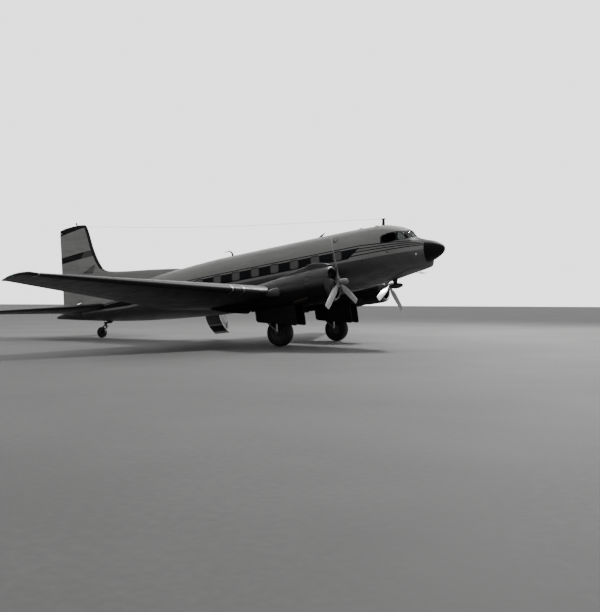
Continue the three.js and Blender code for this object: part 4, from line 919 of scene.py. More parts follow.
# Flight deck windows: (offset, height) of the windscreen pane, (station, height) of the side panes
WINDSCREEN = softened([(0.045, 0.640), (0.590, 0.585), (0.530, 0.865), (0.045, 0.945)], 0.045)
QUARTER = softened([(1.335, 0.565), (1.640, 0.560), (1.655, 0.885), (1.450, 0.850)], 0.045)
SLIDE = softened([(1.720, 0.548), (2.160, 0.533), (2.245, 0.590), (2.265, 0.790), (2.200, 0.862), (1.740, 0.892)],
                 0.035)
DECK_WINDOWS = [("windscreen", WINDSCREEN, on_brow, (0.85, 1.75), 0), ("quarter", QUARTER, on_side, (0.62, 1.3), 1),
                ("slide", SLIDE, on_side, (0.68, 1.4), 1)]
deck_cutters = join(*[both_ways(prism(outline, depth, axis)) for _, outline, _, depth, axis in DECK_WINDOWS])
print("flight deck openings:", 2 * len(DECK_WINDOWS))

# %% [markdown]
# ## The nose
# The nose is a real shell, because the crew's seats and panel show through its windows. One chain of
# rings runs back along the outside and forward again along the inside, which closes the shell without
# any seams. The window openings are cut through both walls, and a green lining lies just inside.
# %% Make the nose shell, its lining and its glass
nose_stations = np.concatenate([np.linspace(RADOME_JOINT + 0.0005, 1.0, 8)[:-1], np.linspace(1.0, 1.4, 25)[:-1],
                                np.linspace(1.4, CABIN_FRONT, 27)])
hollow_stations = np.concatenate([np.linspace(1.08, 1.4, 21)[:-1], np.linspace(1.4, CABIN_FRONT, 20)])


def shell(outer, inner, table=BODY, columns=96, insets=(0.0, 0.045)):
    """A thick skin: rings back along the outside, then forward along the inside, closed at the front."""
    rings = np.concatenate([body_rings(table, outer, columns, insets[0]),
                            body_rings(table, inner[::-1], columns, insets[1])])
    return loft(rings)


cutter_mesh = mesh_of("deck_openings", deck_cutters)
nose_mesh = cut(mesh_of("nose_shell", shell(nose_stations, hollow_stations)), [cutter_mesh])
piece("nose_shell", nose_mesh, SKIN, stands_for=["nose_section"])
lining = cut(mesh_of("deck_lining", shell(hollow_stations[2:], hollow_stations[4:], insets=(0.047, 0.056))),
             [cutter_mesh])
piece("deck_lining", lining, COCKPIT)
panes, frames = [], []
for label, outline, lay, depth, axis in DECK_WINDOWS:
    for side in SIDES.values():
        grid = pane_grid(outline, 0.012)
        panes.append(join(sheet(lay(grid, -0.022, side), wrap=True), sheet(lay(grid, -0.028, side), wrap=True)))
        frames.append(sheet(lay(frame_grid(outline, 0.026), FRAME_OUT, side), wrap=True))
piece("deck_panes", join(*panes), GLASS, stands_for=["flight_deck_glass"])
piece("deck_window_frames", join(*frames), BLACK)

radome_stations = RADOME_JOINT * np.sin(np.linspace(0, np.pi / 2, 34)) ** 1.6
radome_rings = body_rings(RADOME_OUTLINE, radome_stations)
rim = body_rings(RADOME_OUTLINE, [RADOME_JOINT])
piece("radome_cap", loft(np.concatenate([radome_rings, rim + [0.012, 0, 0]])), RADOME, stands_for=["radome"])
print("nose faces:", len(nose_mesh.polygons))

# %% [markdown]
# ## Cabin and tail skins
# Behind the flight deck the fuselage is drawn as one long skin. Eight cabin windows on each side are
# shallow pockets with a pane in each, the entry door leaves its opening on the left, and the lobby behind
# that opening is hollow. The pockets and the doorway are cut with exact booleans from a closed body.
# %% Make the cabin skin with its windows and doorway
WINDOW_STATIONS = [4.21, 5.22, 6.21, 7.17, 8.13, 9.11, 10.09, 11.07]
WINDOW_SIZE = (0.40, 0.36)
WINDOW_HEIGHT = 0.345
DOOR = {"front": 11.560, "back": 12.360, "sill": -0.700, "top": 0.700, "thick": 0.050}
DOOR_GAP = 0.012
LOBBY = {"front": 11.31, "back": 12.61, "wall": 0.085, "top": 0.85}

window_outlines = [rounded(*WINDOW_SIZE, 0.085, 5) + [s, WINDOW_HEIGHT] for s in WINDOW_STATIONS]
pockets = [prism(outline, (1.10, 1.40), 1) for outline in window_outlines]
pocket_mesh = mesh_of("window_pockets", join(*pockets, *[mirrored(pocket) for pocket in pockets]))
front, back, top = DOOR["front"] - DOOR_GAP, DOOR["back"] + DOOR_GAP, DOOR["top"] + DOOR_GAP
door_outline = softened([(front, DOOR["sill"]), (back, DOOR["sill"]), (back, top), (front, top)], 0.04)
doorway_mesh = mesh_of("doorway_cut", prism(door_outline, (0.5, 1.5), 1))


def lobby_room(inset):
    """The lobby's hollow, drawn in by an inset on every side."""
    rings = body_rings(BODY, np.linspace(LOBBY["front"] + inset, LOBBY["back"] - inset, 9), 64, LOBBY["wall"] + inset)
    rings[..., 2] = np.clip(rings[..., 2], DOOR["sill"] + inset, LOBBY["top"] - inset)
    return loft(rings)


body_stations = np.unique(np.concatenate([np.linspace(CABIN_FRONT, 5.2, 16), np.linspace(5.2, 9.86, 24),
                                          np.linspace(9.86, CONE_FRONT, 70)]))
body_mesh = cut(mesh_of("cabin_skin", loft(body_rings(BODY, body_stations))),
                [pocket_mesh, mesh_of("lobby_hollow", lobby_room(0.0)), doorway_mesh])
piece("cabin_skin", body_mesh, SKIN, stands_for=["cabin_section", "tail_section"], sharp=28)
cabin_panes, cabin_frames = [], []
for outline in window_outlines:
    for side in SIDES.values():
        cabin_panes.append(sheet(on_side(pane_grid(outline, 0.004), -0.020, side), wrap=True))
        cabin_frames.append(sheet(on_side(frame_grid(outline, 0.020), FRAME_OUT * 0.7, side), wrap=True))
piece("cabin_panes", join(*cabin_panes), PANE)
piece("cabin_window_frames", join(*cabin_frames), BAND)

cone_stations = np.concatenate([np.linspace(CONE_FRONT, 20.4, 22), np.linspace(20.4, TAIL_END, 8)[1:]])
piece("tail_cone_skin", loft(body_rings(BODY, cone_stations)), CONE_SKIN, stands_for=["tail_cone"])
print("cabin faces:", len(body_mesh.polygons))

# %% [markdown]
# ## Wing sections
# A wing is a family of aerofoils joined by straight lines. The table holds each rib's place and depth, and
# one function gives any point of the skin from a span station and a share of the chord. Fixed parts,
# ailerons, elevators and the fin all come from this one function, so that they fit each other.
# %% Work out points of a wing's skin
# Span, leading edge, trailing edge, their heights, and the depth that the section is multiplied by
WING = np.array([
    (0.0, 6.350, 10.700, -0.800, -0.900, 0.6525), (4.290, 6.350, 10.700, -0.800, -0.900, 0.6525),
    (13.000, 9.038, 10.391, 0.000, 0.005, 0.128535), (13.220, 9.120, 10.350, 0.050, 0.000, 0.11685),
    (13.370, 9.205, 10.240, 0.050, -0.005, 0.09833), (13.510, 9.315, 10.010, 0.040, -0.012, 0.0695),
    (13.620, 9.430, 9.810, 0.020, -0.020, 0.0418), (13.690, 9.520, 9.710, -0.005, -0.020, 0.0247),
    (13.715, 9.575, 9.665, -0.020, -0.020, 0.0126)])
TAILPLANE = np.array([
    (0.0, 16.920, 19.900, 0.300, 0.285, 0.3278), (5.300, 18.870, 19.860, 0.300, 0.285, 0.0891),
    (5.520, 19.020, 19.830, 0.300, 0.288, 0.0648), (5.620, 19.250, 19.760, 0.300, 0.291, 0.0306)])
FIN = np.array([
    (0.500, 12.000, 20.235, 0, 0, 0.300), (1.330, 12.600, 20.150, 0, 0, 0.290),
    (1.520, 13.660, 20.135, 0, 0, 0.285), (2.010, 17.090, 20.100, 0, 0, 0.270),
    (2.200, 17.390, 20.085, 0, 0, 0.265), (3.150, 17.800, 20.000, 0, 0, 0.220),
    (4.430, 18.085, 19.885, 0, 0, 0.150), (4.560, 18.180, 19.865, 0, 0, 0.120),
    (4.635, 18.600, 19.500, 0, 0, 0.060)])


def half_thickness(x):
    """Four-digit section: half thickness at a share x of the chord, as a share of the depth."""
    return 5 * (0.2969 * np.sqrt(x) - 0.126 * x - 0.3516 * x ** 2 + 0.2843 * x ** 3 - 0.1015 * x ** 4)


def camber_line(x):
    """Four-digit camber of 2% at 40% of the chord: two parabolas that meet at their crest."""
    return np.where(x < 0.4, 0.125 * (0.8 * x - x * x), 0.05556 * (0.2 + 0.8 * x - x * x))


def section(table, span, x):
    """Station, middle height, half thickness and chord at a span and a share x of the chord."""
    lead, trail, lead_h, trail_h, depth = (np.interp(span, table[:, 0], table[:, c]) for c in range(1, 6))
    chord = trail - lead
    bend = camber_line(x) * chord if table is WING else 0.0 * chord
    skin = (0.004 if table is FIN else 0.003) * np.clip(x / 0.004, 0, 1)
    return lead + x * chord, lead_h + (trail_h - lead_h) * x + bend, half_thickness(x) * depth + skin, chord


def placed(table, station, span, middle, offset, side=1):
    """Puts a section's points in space: upwards from a wing's plane, or sideways from the fin's."""
    station, span, middle, offset = np.broadcast_arrays(station, span, middle, offset)
    if table is FIN:
        return np.stack([station, offset, span], -1)
    return np.stack([station, side * span, middle + offset], -1)


def share_steps(start, end, count):
    """Shares of the chord from start to end, closer together near a leading edge."""
    t = np.linspace(0, 1, count)
    return start + (end - start) * (t ** 2 if start == 0 else t)


def round_nose(count):
    """Shares from the back over the top to the leading edge and back below, and the sign of each face."""
    x = share_steps(0.0, 1.0, count)
    return np.concatenate([x[::-1], x[1:]]), np.repeat([1.0, -1.0], [count, count - 1])


def skin_at(table, span, x, up, side=1, lift=0.0):
    """Points of a skin, above or below the middle by the sign of up, with a lift added."""
    station, middle, half, _ = section(table, span, x)
    return placed(table, station, span, middle, up * half + lift, side)


def plain_panel(table, spans, side=1, count=26):
    """A closed panel with the whole section: over the top to the leading edge and back below."""
    return loft(skin_at(table, np.asarray(spans)[:, None], *round_nose(count), side))


def fixed_ahead(table, spans, hinge, side=1, gap=0.012, count=24):
    """The fixed part ahead of a hinge: its rear wall is an arc about the hinge line, clear of the nose."""
    spans = np.asarray(spans, float)
    x_hinge = hinge(spans)
    hinge_s, hinge_mid, hinge_half, chord = section(table, spans, x_hinge)
    radius = hinge_half - 0.003 + gap
    lip = np.sqrt(radius ** 2 - hinge_half ** 2) + 0.002
    share, up = round_nose(count)
    skins = skin_at(table, spans[:, None], share * (x_hinge - lip / chord)[:, None], up, side)
    tilt = np.arctan2(hinge_half, lip)[:, None]
    angle = np.pi + tilt * np.linspace(1, -1, 11)[None, 1:-1]
    wall = placed(table, hinge_s[:, None] + radius[:, None] * np.cos(angle), spans[:, None],
                  hinge_mid[:, None], radius[:, None] * np.sin(angle), side)
    return loft(np.concatenate([skins, wall], axis=1))


def moving_behind(table, spans, hinge, side=1, slant=0.0, count=14):
    """The moving part: a round nose about the hinge line, then both skins back to the trailing edge."""
    spans = np.asarray(spans, float)
    slant = np.broadcast_to(slant, spans.shape)[:, None]
    x_hinge = hinge(spans)
    hinge_s, hinge_mid, hinge_half, chord = section(table, spans, x_hinge)
    nose = (hinge_half - 0.003)[:, None]
    x = x_hinge[:, None] + (1 - x_hinge[:, None]) * np.linspace(0, 1, count)
    x = np.concatenate([x[:, ::-1], x], axis=1)
    span = spans[:, None] - slant * (x - x_hinge[:, None]) * chord[:, None]
    skins = skin_at(table, span, x, np.repeat([1.0, -1.0], count), side)
    angle = np.linspace(0.5 * np.pi, 1.5 * np.pi, 11)[None, 1:-1]
    front = placed(table, hinge_s[:, None] + nose * np.cos(angle), spans[:, None], hinge_mid[:, None],
                   nose * np.sin(angle), side)
    return loft(np.concatenate([skins[:, :count], front, skins[:, count:]], axis=1))


def flap_bay(table, spans, side=1, lift=0.026, count=26):
    """A full section whose underside steps up where the closed flap lies."""
    spans = np.asarray(spans, float)[:, None]
    top = share_steps(0.0, 1.0, count)[::-1]
    ahead, behind = share_steps(0.0, FLAP["hinge"] - 0.003, count)[1:], np.linspace(FLAP["end"] + 0.003, 1, 4)
    x = np.concatenate([top, ahead, ahead[-1:], behind[:1], behind])
    up = np.where(np.arange(len(x)) < count, 1.0, -1.0)
    raised = np.zeros(len(x))
    raised[count + len(ahead):count + len(ahead) + 2] = lift
    return loft(skin_at(table, spans, x, up, side, raised))


def nose_strip(table, spans, top, low, out, side=1, count=15):
    """A thin layer over the leading edge, from a share of the chord above to one below."""
    spans = np.asarray(spans, float)
    chord = section(table, spans, 0.0)[3][:, None]
    t = np.linspace(-1, 1, count)
    reach = np.where(t < 0, top, low) * t * np.abs(t)
    x = np.clip(np.abs(reach) / chord, 0, 0.97)
    station, middle, half, _ = section(table, spans[:, None], x)
    proud = np.where(np.abs(t) > 0.99, -0.002, out)
    ahead = proud * np.clip(1 - np.abs(t) * 1.6, 0, 1)
    return sheet(placed(table, station - ahead, spans[:, None], middle, -np.sign(t) * (half + proud), side))


FLAP = {"hinge": 0.745, "end": 0.955, "thick": 0.016, "inner": (1.500, 4.260), "outer": (4.350, 7.900)}
AILERON = {"from": 8.050, "to": 12.850, "share": 0.73, "slant": 0.0717}
ELEVATOR = {"hinge": 19.110, "from": 0.360, "to": 5.240}
RUDDER = {"hinge": 18.880, "foot": 0.724, "head": 4.425, "heel": 0.090}
RUN_GAP = 0.012

fin_heights = np.unique(np.concatenate([np.linspace(0.5, 4.43, 44), np.linspace(4.43, 4.635, 10), FIN[:, 0]]))
FIN = np.stack([fin_heights, between(FIN, 1, fin_heights), between(FIN, 2, fin_heights), 0 * fin_heights,
                0 * fin_heights, between(FIN, 5, fin_heights)], -1)
print("sections:", len(WING), len(TAILPLANE), len(FIN))

# %% [markdown]
# ## Wings, ailerons and flaps
# The centre section runs straight through under the cabin and carries both engines, and the outer panels
# taper and rise. Each panel is built zone by zone along the span: plain, above a flap, or ahead of an
# aileron. Neighbouring zones share the same end section, so they meet without a step. The split flaps are
# thin plates under the wing with stiffeners inside, and the ailerons are cloth over ribs.
# %% Make the wing panels


def aileron_hinge(span):
    """The aileron's hinge lies at one share of the chord."""
    return np.full(np.shape(span), AILERON["share"])


def beside_aileron(spans, row, side):
    """A plain zone whose end section, at a row, leans with the end of the aileron beside it."""
    x, up = round_nose(26)
    span = np.asarray(spans, float)[:, None] * np.ones_like(x)
    chord = section(WING, span[row], 0.0)[3]
    span[row] -= AILERON["slant"] * np.clip(x - AILERON["share"], 0, None) * chord
    return loft(skin_at(WING, span, x, up, side))


def flap_plate(spans, side):
    """A thin plate under the wing: the lower face is the wing's own, and the upper face is stiffened."""
    x = np.linspace(FLAP["hinge"], FLAP["end"], 7)
    rows = np.asarray(spans, float)[:, None]
    wave = 0.003 * (1 + np.cos(np.arange(len(spans)) * np.pi))[:, None]
    low = skin_at(WING, rows, x, -1, side, 0.001)
    high = skin_at(WING, rows, x, -1, side, FLAP["thick"] + wave * np.sin(np.linspace(0, np.pi, 7)))
    return loft(np.concatenate([low, high[:, ::-1]], axis=1))


BREAK, TIP, WING_END = WING[1, 0], WING[2, 0], WING[-1, 0]
bay_from, bay_to = FLAP["outer"] + RUN_GAP * np.array([-1, 1])
gap_from, gap_to = AILERON["from"] - RUN_GAP, AILERON["to"] + RUN_GAP
for name, side in SIDES.items():
    panel = join(
        plain_panel(WING, [BREAK, bay_from], side), flap_bay(WING, np.linspace(bay_from, bay_to, 9), side),
        beside_aileron([bay_to, gap_from], 1, side),
        fixed_ahead(WING, np.linspace(gap_from, gap_to, 12), aileron_hinge, side),
        beside_aileron([gap_to, TIP], 0, side))
    piece(f"wing_panel_{name}", panel, WING_SKIN, stands_for=[f"wing_outer_{name}"])
    tip_spans = np.unique(np.concatenate([np.linspace(TIP, WING_END, 20), WING[2:, 0]]))
    piece(f"wing_end_{name}", plain_panel(WING, tip_spans, side), WING_SKIN, stands_for=[f"wing_tip_{name}"])
    aileron = moving_behind(WING, np.linspace(AILERON["from"], AILERON["to"], 13), aileron_hinge, side,
                            AILERON["slant"])
    piece(f"aileron_cloth_{name}", aileron, FABRIC, body=f"aileron_{name}", stands_for=[f"aileron_{name}"])
    for label in ("inner", "outer"):
        start, end = FLAP[label]
        flap = flap_plate(np.linspace(start, end, int((end - start) / 0.14)), side)
        piece(f"flap_plate_{label}_{name}", flap, WING_SKIN, body=f"flap_{label}_{name}",
              stands_for=[f"flap_{label}_{name}"])

bay_from, bay_to = FLAP["inner"] + RUN_GAP * np.array([-1, 1])
centre = both(lambda side: join(plain_panel(WING, [0.0, bay_from], side),
                                flap_bay(WING, np.linspace(bay_from, bay_to, 7), side),
                                plain_panel(WING, [bay_to, BREAK], side)))
piece("wing_middle", centre, WING_SKIN, stands_for=["wing_centre"])

boots, strips = [], []
JOINT_STRIPS = [(5.00, 0.055), (5.53, 0.075), (12.975, 0.05)]  # start along the span, width
for side in SIDES.values():
    boots.append(nose_strip(WING, np.linspace(5.45, TIP, 18), 0.10, 0.23, 0.004, side))
    boots.append(nose_strip(WING, np.linspace(TIP + 0.04, WING_END, 16), 0.08, 0.17, 0.004, side))
    for start, wide in JOINT_STRIPS:
        strips.append(nose_strip(WING, [start, start + wide], 0.14, 0.34, 0.008, side, 25))
piece("wing_boots", join(*boots), BOOT)
piece("wing_joint_strips", join(*strips), BRIGHT)

# %% [markdown]
# ## Tail surfaces
# The tailplane, elevators, fin and rudder use the same sections. The fin's leading edge sweeps down into
# a long ridge along the body, with a black boot round the curve. The rudder's heel slopes down behind
# its hinge, close over the tail cone and clear of the raised elevators.
# %% Make the tailplane, fin and moving surfaces


def hinge_at(table, station):
    """Share of the chord at which a hinge that keeps one station crosses each section."""
    def share(span):
        lead, trail = (np.interp(span, table[:, 0], table[:, column]) for column in (1, 2))
        return (station - lead) / (trail - lead)
    return share


elevator_hinge, rudder_hinge = hinge_at(TAILPLANE, ELEVATOR["hinge"]), hinge_at(FIN, RUDDER["hinge"])
for name, side in SIDES.items():
    horn = ELEVATOR["to"] + RUN_GAP
    surface = join(fixed_ahead(TAILPLANE, np.linspace(0.02, horn, 12), elevator_hinge, side),
                   plain_panel(TAILPLANE, [horn, 5.30, 5.42, 5.52, 5.56, 5.59, 5.605, 5.62], side))
    piece(f"tailplane_skin_{name}", surface, TAIL_SKIN, stands_for=[f"tailplane_{name}"])
    elevator = moving_behind(TAILPLANE, np.linspace(ELEVATOR["from"], ELEVATOR["to"], 12), elevator_hinge, side)
    root_s, root_mid, _, _ = section(TAILPLANE, ELEVATOR["from"], elevator_hinge(ELEVATOR["from"]))
    shaft = bar((root_s, side * 0.10, root_mid), (root_s, side * 0.42, root_mid), 0.027)
    piece(f"elevator_cloth_{name}", join(elevator, shaft), FABRIC, body="elevators",
          stands_for=[f"elevator_{name}"])

fin_rows = np.linspace(0.5, RUDDER["head"] + RUN_GAP, 40)
cap_rows = np.concatenate([[RUDDER["head"] + RUN_GAP], np.linspace(4.45, 4.635, 10)])
fin = join(fixed_ahead(FIN, fin_rows, rudder_hinge), plain_panel(FIN, cap_rows))
piece("fin_skin_piece", fin, FIN_SKIN, stands_for=["fin"])
rudder_rows = np.concatenate([[RUDDER["foot"]], np.linspace(0.95, RUDDER["head"], 23)])
lean = np.where(np.arange(len(rudder_rows)) == 0, RUDDER["heel"], 0.0)
rudder = moving_behind(FIN, rudder_rows, rudder_hinge, slant=lean)
post = bar((RUDDER["hinge"], 0, 0.720), (RUDDER["hinge"], 0, 0.86), 0.024)
piece("rudder_cloth", join(rudder, post), RUDDER_SKIN, body="rudder", stands_for=["rudder"])

boot_spans = np.concatenate([np.linspace(0.5, 5.3, 10), [5.42, 5.52, 5.57]])
tail_boots = both(lambda side: nose_strip(TAILPLANE, boot_spans, 0.09, 0.12, 0.004, side))
fin_boot = nose_strip(FIN, np.concatenate([np.linspace(1.93, 2.3, 14), np.linspace(2.4, 4.56, 16)]), 0.15, 0.15, 0.004)
piece("tail_boots", join(tail_boots, fin_boot), BOOT)


def root_fillet(side):
    """A curved sheet from the top of the wing root up the body's side, wider towards the back."""
    x = (1 - np.cos(np.linspace(0.3, np.pi, 30))) / 2
    reach = 0.06 + 0.22 * x
    top = skin_at(WING, np.full(30, 1.3), x, 1)
    s, h = top[:, 0], top[:, 2]
    corner = np.stack([s, side_of_body(s, h), h], -1)
    on_wing = corner + np.stack([0 * s, reach, 0 * s + 0.003], -1)
    on_body = np.stack([s, side_of_body(s, h + reach, 0.003), h + reach], -1)
    t = np.linspace(0, 1, 10)[None, :, None]
    curve = (1 - t) ** 2 * on_wing[:, None] + 2 * t * (1 - t) * corner[:, None] + t ** 2 * on_body[:, None]
    return sheet(curve * [1, side, 1])


piece("wing_root_fillets", both(root_fillet), WING_SKIN)
print("tail surfaces done")

# %% [markdown]
# ## Nacelles
# Behind each engine a long teardrop runs back over the wing. Its belly is open where the wheel folds up,
# so a box is cut from a closed body and lined with dark primer. The carburettor scoop on top fades into
# the wing behind the cowl.
# %% Make the nacelles with their wheel wells
NACELLE_FRONT = 4.7605
NACELLE = np.array([
    (NACELLE_FRONT, -0.215, -1.575, 0.640), (5.400, -0.250, -1.620, 0.620), (6.300, -0.330, -1.640, 0.600),
    (7.400, -0.460, -1.560, 0.560), (8.500, -0.640, -1.370, 0.440), (9.400, -0.860, -1.130, 0.250)])
ENGINE_Y, THRUST_H = 2.847, -0.895
WELL_BOX = {"s": (5.250, 7.850), "half": 0.350, "h": (-2.000, -0.900)}


def scoop_back(side):
    """The tail of the carburettor scoop: a humped ring that narrows and sinks into the nacelle's top."""
    table = np.array([(NACELLE_FRONT, -0.030, 0.200), (5.300, -0.120, 0.190), (5.900, -0.250, 0.120),
                      (6.250, -0.330, 0.030)])
    s = np.linspace(NACELLE_FRONT, 6.25, 14)
    top, half = between(table, 1, s)[:, None], between(table, 2, s)[:, None]
    angle = np.linspace(0, np.pi, 19)[None]
    y = side * (ENGINE_Y + half * np.sign(np.cos(angle)) * np.abs(np.cos(angle)) ** 0.6)
    h = -0.60 + (top + 0.60) * np.sin(angle) ** 0.35
    return loft(np.stack([s[:, None] + 0 * y, y, h], -1))


nacelle_stations = np.concatenate([np.linspace(NACELLE_FRONT, 9.0, 44), np.linspace(9.0, 9.4, 9)[1:]])
well = block(WELL_BOX["s"], (AXLE_Y - WELL_BOX["half"], AXLE_Y + WELL_BOX["half"]), WELL_BOX["h"])
RIBS, LINING_IN = np.linspace(5.45, 7.65, 8), 0.002
for name, side in SIDES.items():
    rings = body_rings(NACELLE, nacelle_stations, 72, middle=side * ENGINE_Y)
    hollow = well if side == 1 else mirrored(well)
    skin = cut(mesh_of(f"nacelle_{name}_body", loft(rings)), [mesh_of("well_cut", hollow)])
    piece(f"nacelle_skin_{name}", skin, COWL_SKIN, stands_for=[f"nacelle_{name}"], sharp=30)
    piece(f"scoop_tail_{name}", scoop_back(side), COWL_SKIN)
    long = np.add(WELL_BOX["s"], (LINING_IN, -LINING_IN))
    walls = side * AXLE_Y + side * (WELL_BOX["half"] - LINING_IN) * np.array([-1, 1])
    lining = [block(long, walls, (-0.912, -0.905))]
    for y in walls:
        inward = np.sign(side * AXLE_Y - y)
        lining.append(block(long, (y, y + inward * 0.006), (-1.44, -0.905)))
        lining += [block((s, s + 0.03), (y, y + inward * 0.035), (-1.40, -0.91)) for s in RIBS]
    lining += [block((s, s + 0.03), walls, (-0.952, -0.908)) for s in RIBS]
    piece(f"well_lining_{name}", join(*lining), WELL)
print("wheel wells lined")

# %% [markdown]
# ## Cowls
# A cowl is a ring with a rounded lip, turned about the thrust line. The lip is a separate ring of darker,
# blotchily worn metal, whose darkness is partly painted shade. Along the back edge stand the cooling flaps,
# small plates with gaps between them, and a flat-sided scoop rides on top with its own open mouth.
# %% Make the cowls, their lips and cooling flaps
COWL_FRONT, AFT = 3.800, np.array([1.0, 0.0, 0.0])
LIP = [(0.110, 0.630), (0.060, 0.596), (0.030, 0.575), (0.016, 0.580), (0.006, 0.592), (0.001, 0.604), (0.000, 0.615),
       (0.002, 0.630), (0.006, 0.643), (0.013, 0.655), (0.026, 0.665), (0.045, 0.674), (0.075, 0.686), (0.110, 0.697)]
SHEET_RING = [(0.110, 0.697), (0.180, 0.705), (0.260, 0.710), (0.770, 0.710), (0.775, 0.706), (0.775, 0.668),
              (0.260, 0.665), (0.110, 0.630)]


def thrust(s, y=0.0, h=0.0, side=1):
    """A point given from the thrust line of one engine."""
    return np.array([s, side * ENGINE_Y + y, THRUST_H + h])


def around_thrust(s, side, radius, angle):
    """Points at a station on a circle about the thrust line, at angles from the span."""
    return np.stack([np.full(len(angle), s), side * ENGINE_Y + radius * np.cos(angle),
                     THRUST_H + radius * np.sin(angle)], -1)


def on_thrust(profile, s, side, sides):
    """A profile turned about the thrust line from a station aft."""
    return lathe(profile, thrust(s, side=side), AFT, sides)


def petals(side, count=22, start=0.76, end=0.955, gap=0.10):
    """Cooling flaps: curved plates round the back of the cowl, spread a little outwards at their edge."""
    plates = []
    for number in range(count):
        middle = (number + 0.5) * 2 * np.pi / count
        if abs(np.angle(np.exp(1j * (middle - np.pi / 2)))) < 0.34:
            continue
        angle = middle + np.linspace(-1, 1, 5) * np.pi / count * (1 - gap)
        rings = [around_thrust(COWL_FRONT + along, side, radius, angle) for along, radius in
                 ((start, 0.711), (start, 0.704), (end, 0.694), (end, 0.701))]
        plates.append(loft(np.stack(rings, 1)))
    return join(*plates)


def top_scoop(side):
    """The carburettor scoop over the cowl: rounded box rings that grow from the lip, with a hollow mouth."""
    table = np.array([(3.880, 0.640, 0.755, 0.200), (4.070, 0.685, 0.840, 0.210), (4.490, 0.685, 0.905, 0.210),
                      (4.760, 0.650, 0.885, 0.205)])
    s = np.linspace(3.880, 4.760, 18)
    low, high, half = (between(table, column, s) for column in (1, 2, 3))
    rings = []
    for station, foot, top, wide in zip(s, low, high, half):
        outline = rounded(2 * wide, top - foot + 0.06, 0.06, 5)
        rings.append(np.stack([np.full(len(outline), station), side * ENGINE_Y + outline[:, 0],
                               THRUST_H + (top + foot - 0.06) / 2 + outline[:, 1]], -1))
    rings = np.array(rings)
    middle = rings[0].mean(0)
    mouth = np.array([0, 0.0, 0.015])
    lip = middle + (rings[0] - middle) * [1, 0.93, 0.80] + mouth + [-0.004, 0, 0]
    throat = middle + (rings[0] - middle) * [1, 0.86, 0.62] + mouth
    inner = [lip, throat + [0.03, 0, 0], throat + [0.35, 0, 0]]
    return loft(np.concatenate([np.array(inner[::-1]), rings]))


for name, side in SIDES.items():
    piece(f"cowl_lip_{name}", on_thrust(LIP, COWL_FRONT, side, 96), LIP_METAL)
    ring = join(on_thrust(SHEET_RING, COWL_FRONT, side, 96), petals(side))
    piece(f"cowl_ring_{name}", ring, COWL_SKIN, stands_for=[f"cowl_{name}"], sharp=30)
    piece(f"cowl_scoop_{name}", top_scoop(side), COWL_SKIN, sharp=40)
    bands = [on_thrust([(-0.012, 0.709), (-0.010, 0.7135), (0.010, 0.7135), (0.012, 0.709)], COWL_FRONT + at, side,
                       96) for at in (0.37, 0.73)]
    piece(f"cowl_bands_{name}", join(*bands), COWL_SKIN)
    piece(f"firewall_{name}", on_thrust([(0.0, 0.28), (0.0, 0.660), (0.02, 0.663), (0.02, 0.28)], 4.735, side, 48),
          WELL)
print("cowls done")

# %% [markdown]
# ## Radial engines
# Nine air-cooled cylinders stand round a crankcase. Each has a finned barrel and a finned head, two rocker
# boxes, and two pushrod tubes that lean in to the case. A ring carries the ignition leads in front. A
# cylinder is one profile turned about its own axis, with the fins as steps in that profile.
# %% Make the engines
CYLINDER_S, CYLINDERS = 4.170, 9
CRANKCASE = [(3.7304, 0.0), (3.7304, 0.055), (3.765, 0.060), (3.775, 0.112), (3.79, 0.122), (3.83, 0.150),
             (3.88, 0.185), (3.95, 0.225), (3.985, 0.248), (4.0, 0.262), (4.03, 0.268), (4.31, 0.268),
             (4.33, 0.272), (4.42, 0.325), (4.74, 0.300), (4.74, 0.0)]  # (station, radius)


def finned(start, end, inner, outer, fins):
    """Steps of (height, radius) for a stack of fins: each fin rises to the outer radius and falls back."""
    pitch = (end - start) / fins
    heights = start + pitch * (np.arange(fins)[:, None] + [0.0, 0.30, 0.45, 0.85])
    return np.stack([heights.reshape(-1), np.tile([inner, outer, outer * 0.995, inner], fins)], -1)


def standing(shape_of, number, side):
    """A shape drawn up from the thrust line is turned to its cylinder's place round the crankcase."""
    return turned(shape_of, number * 360 / CYLINDERS, "X", thrust(0, side=side))


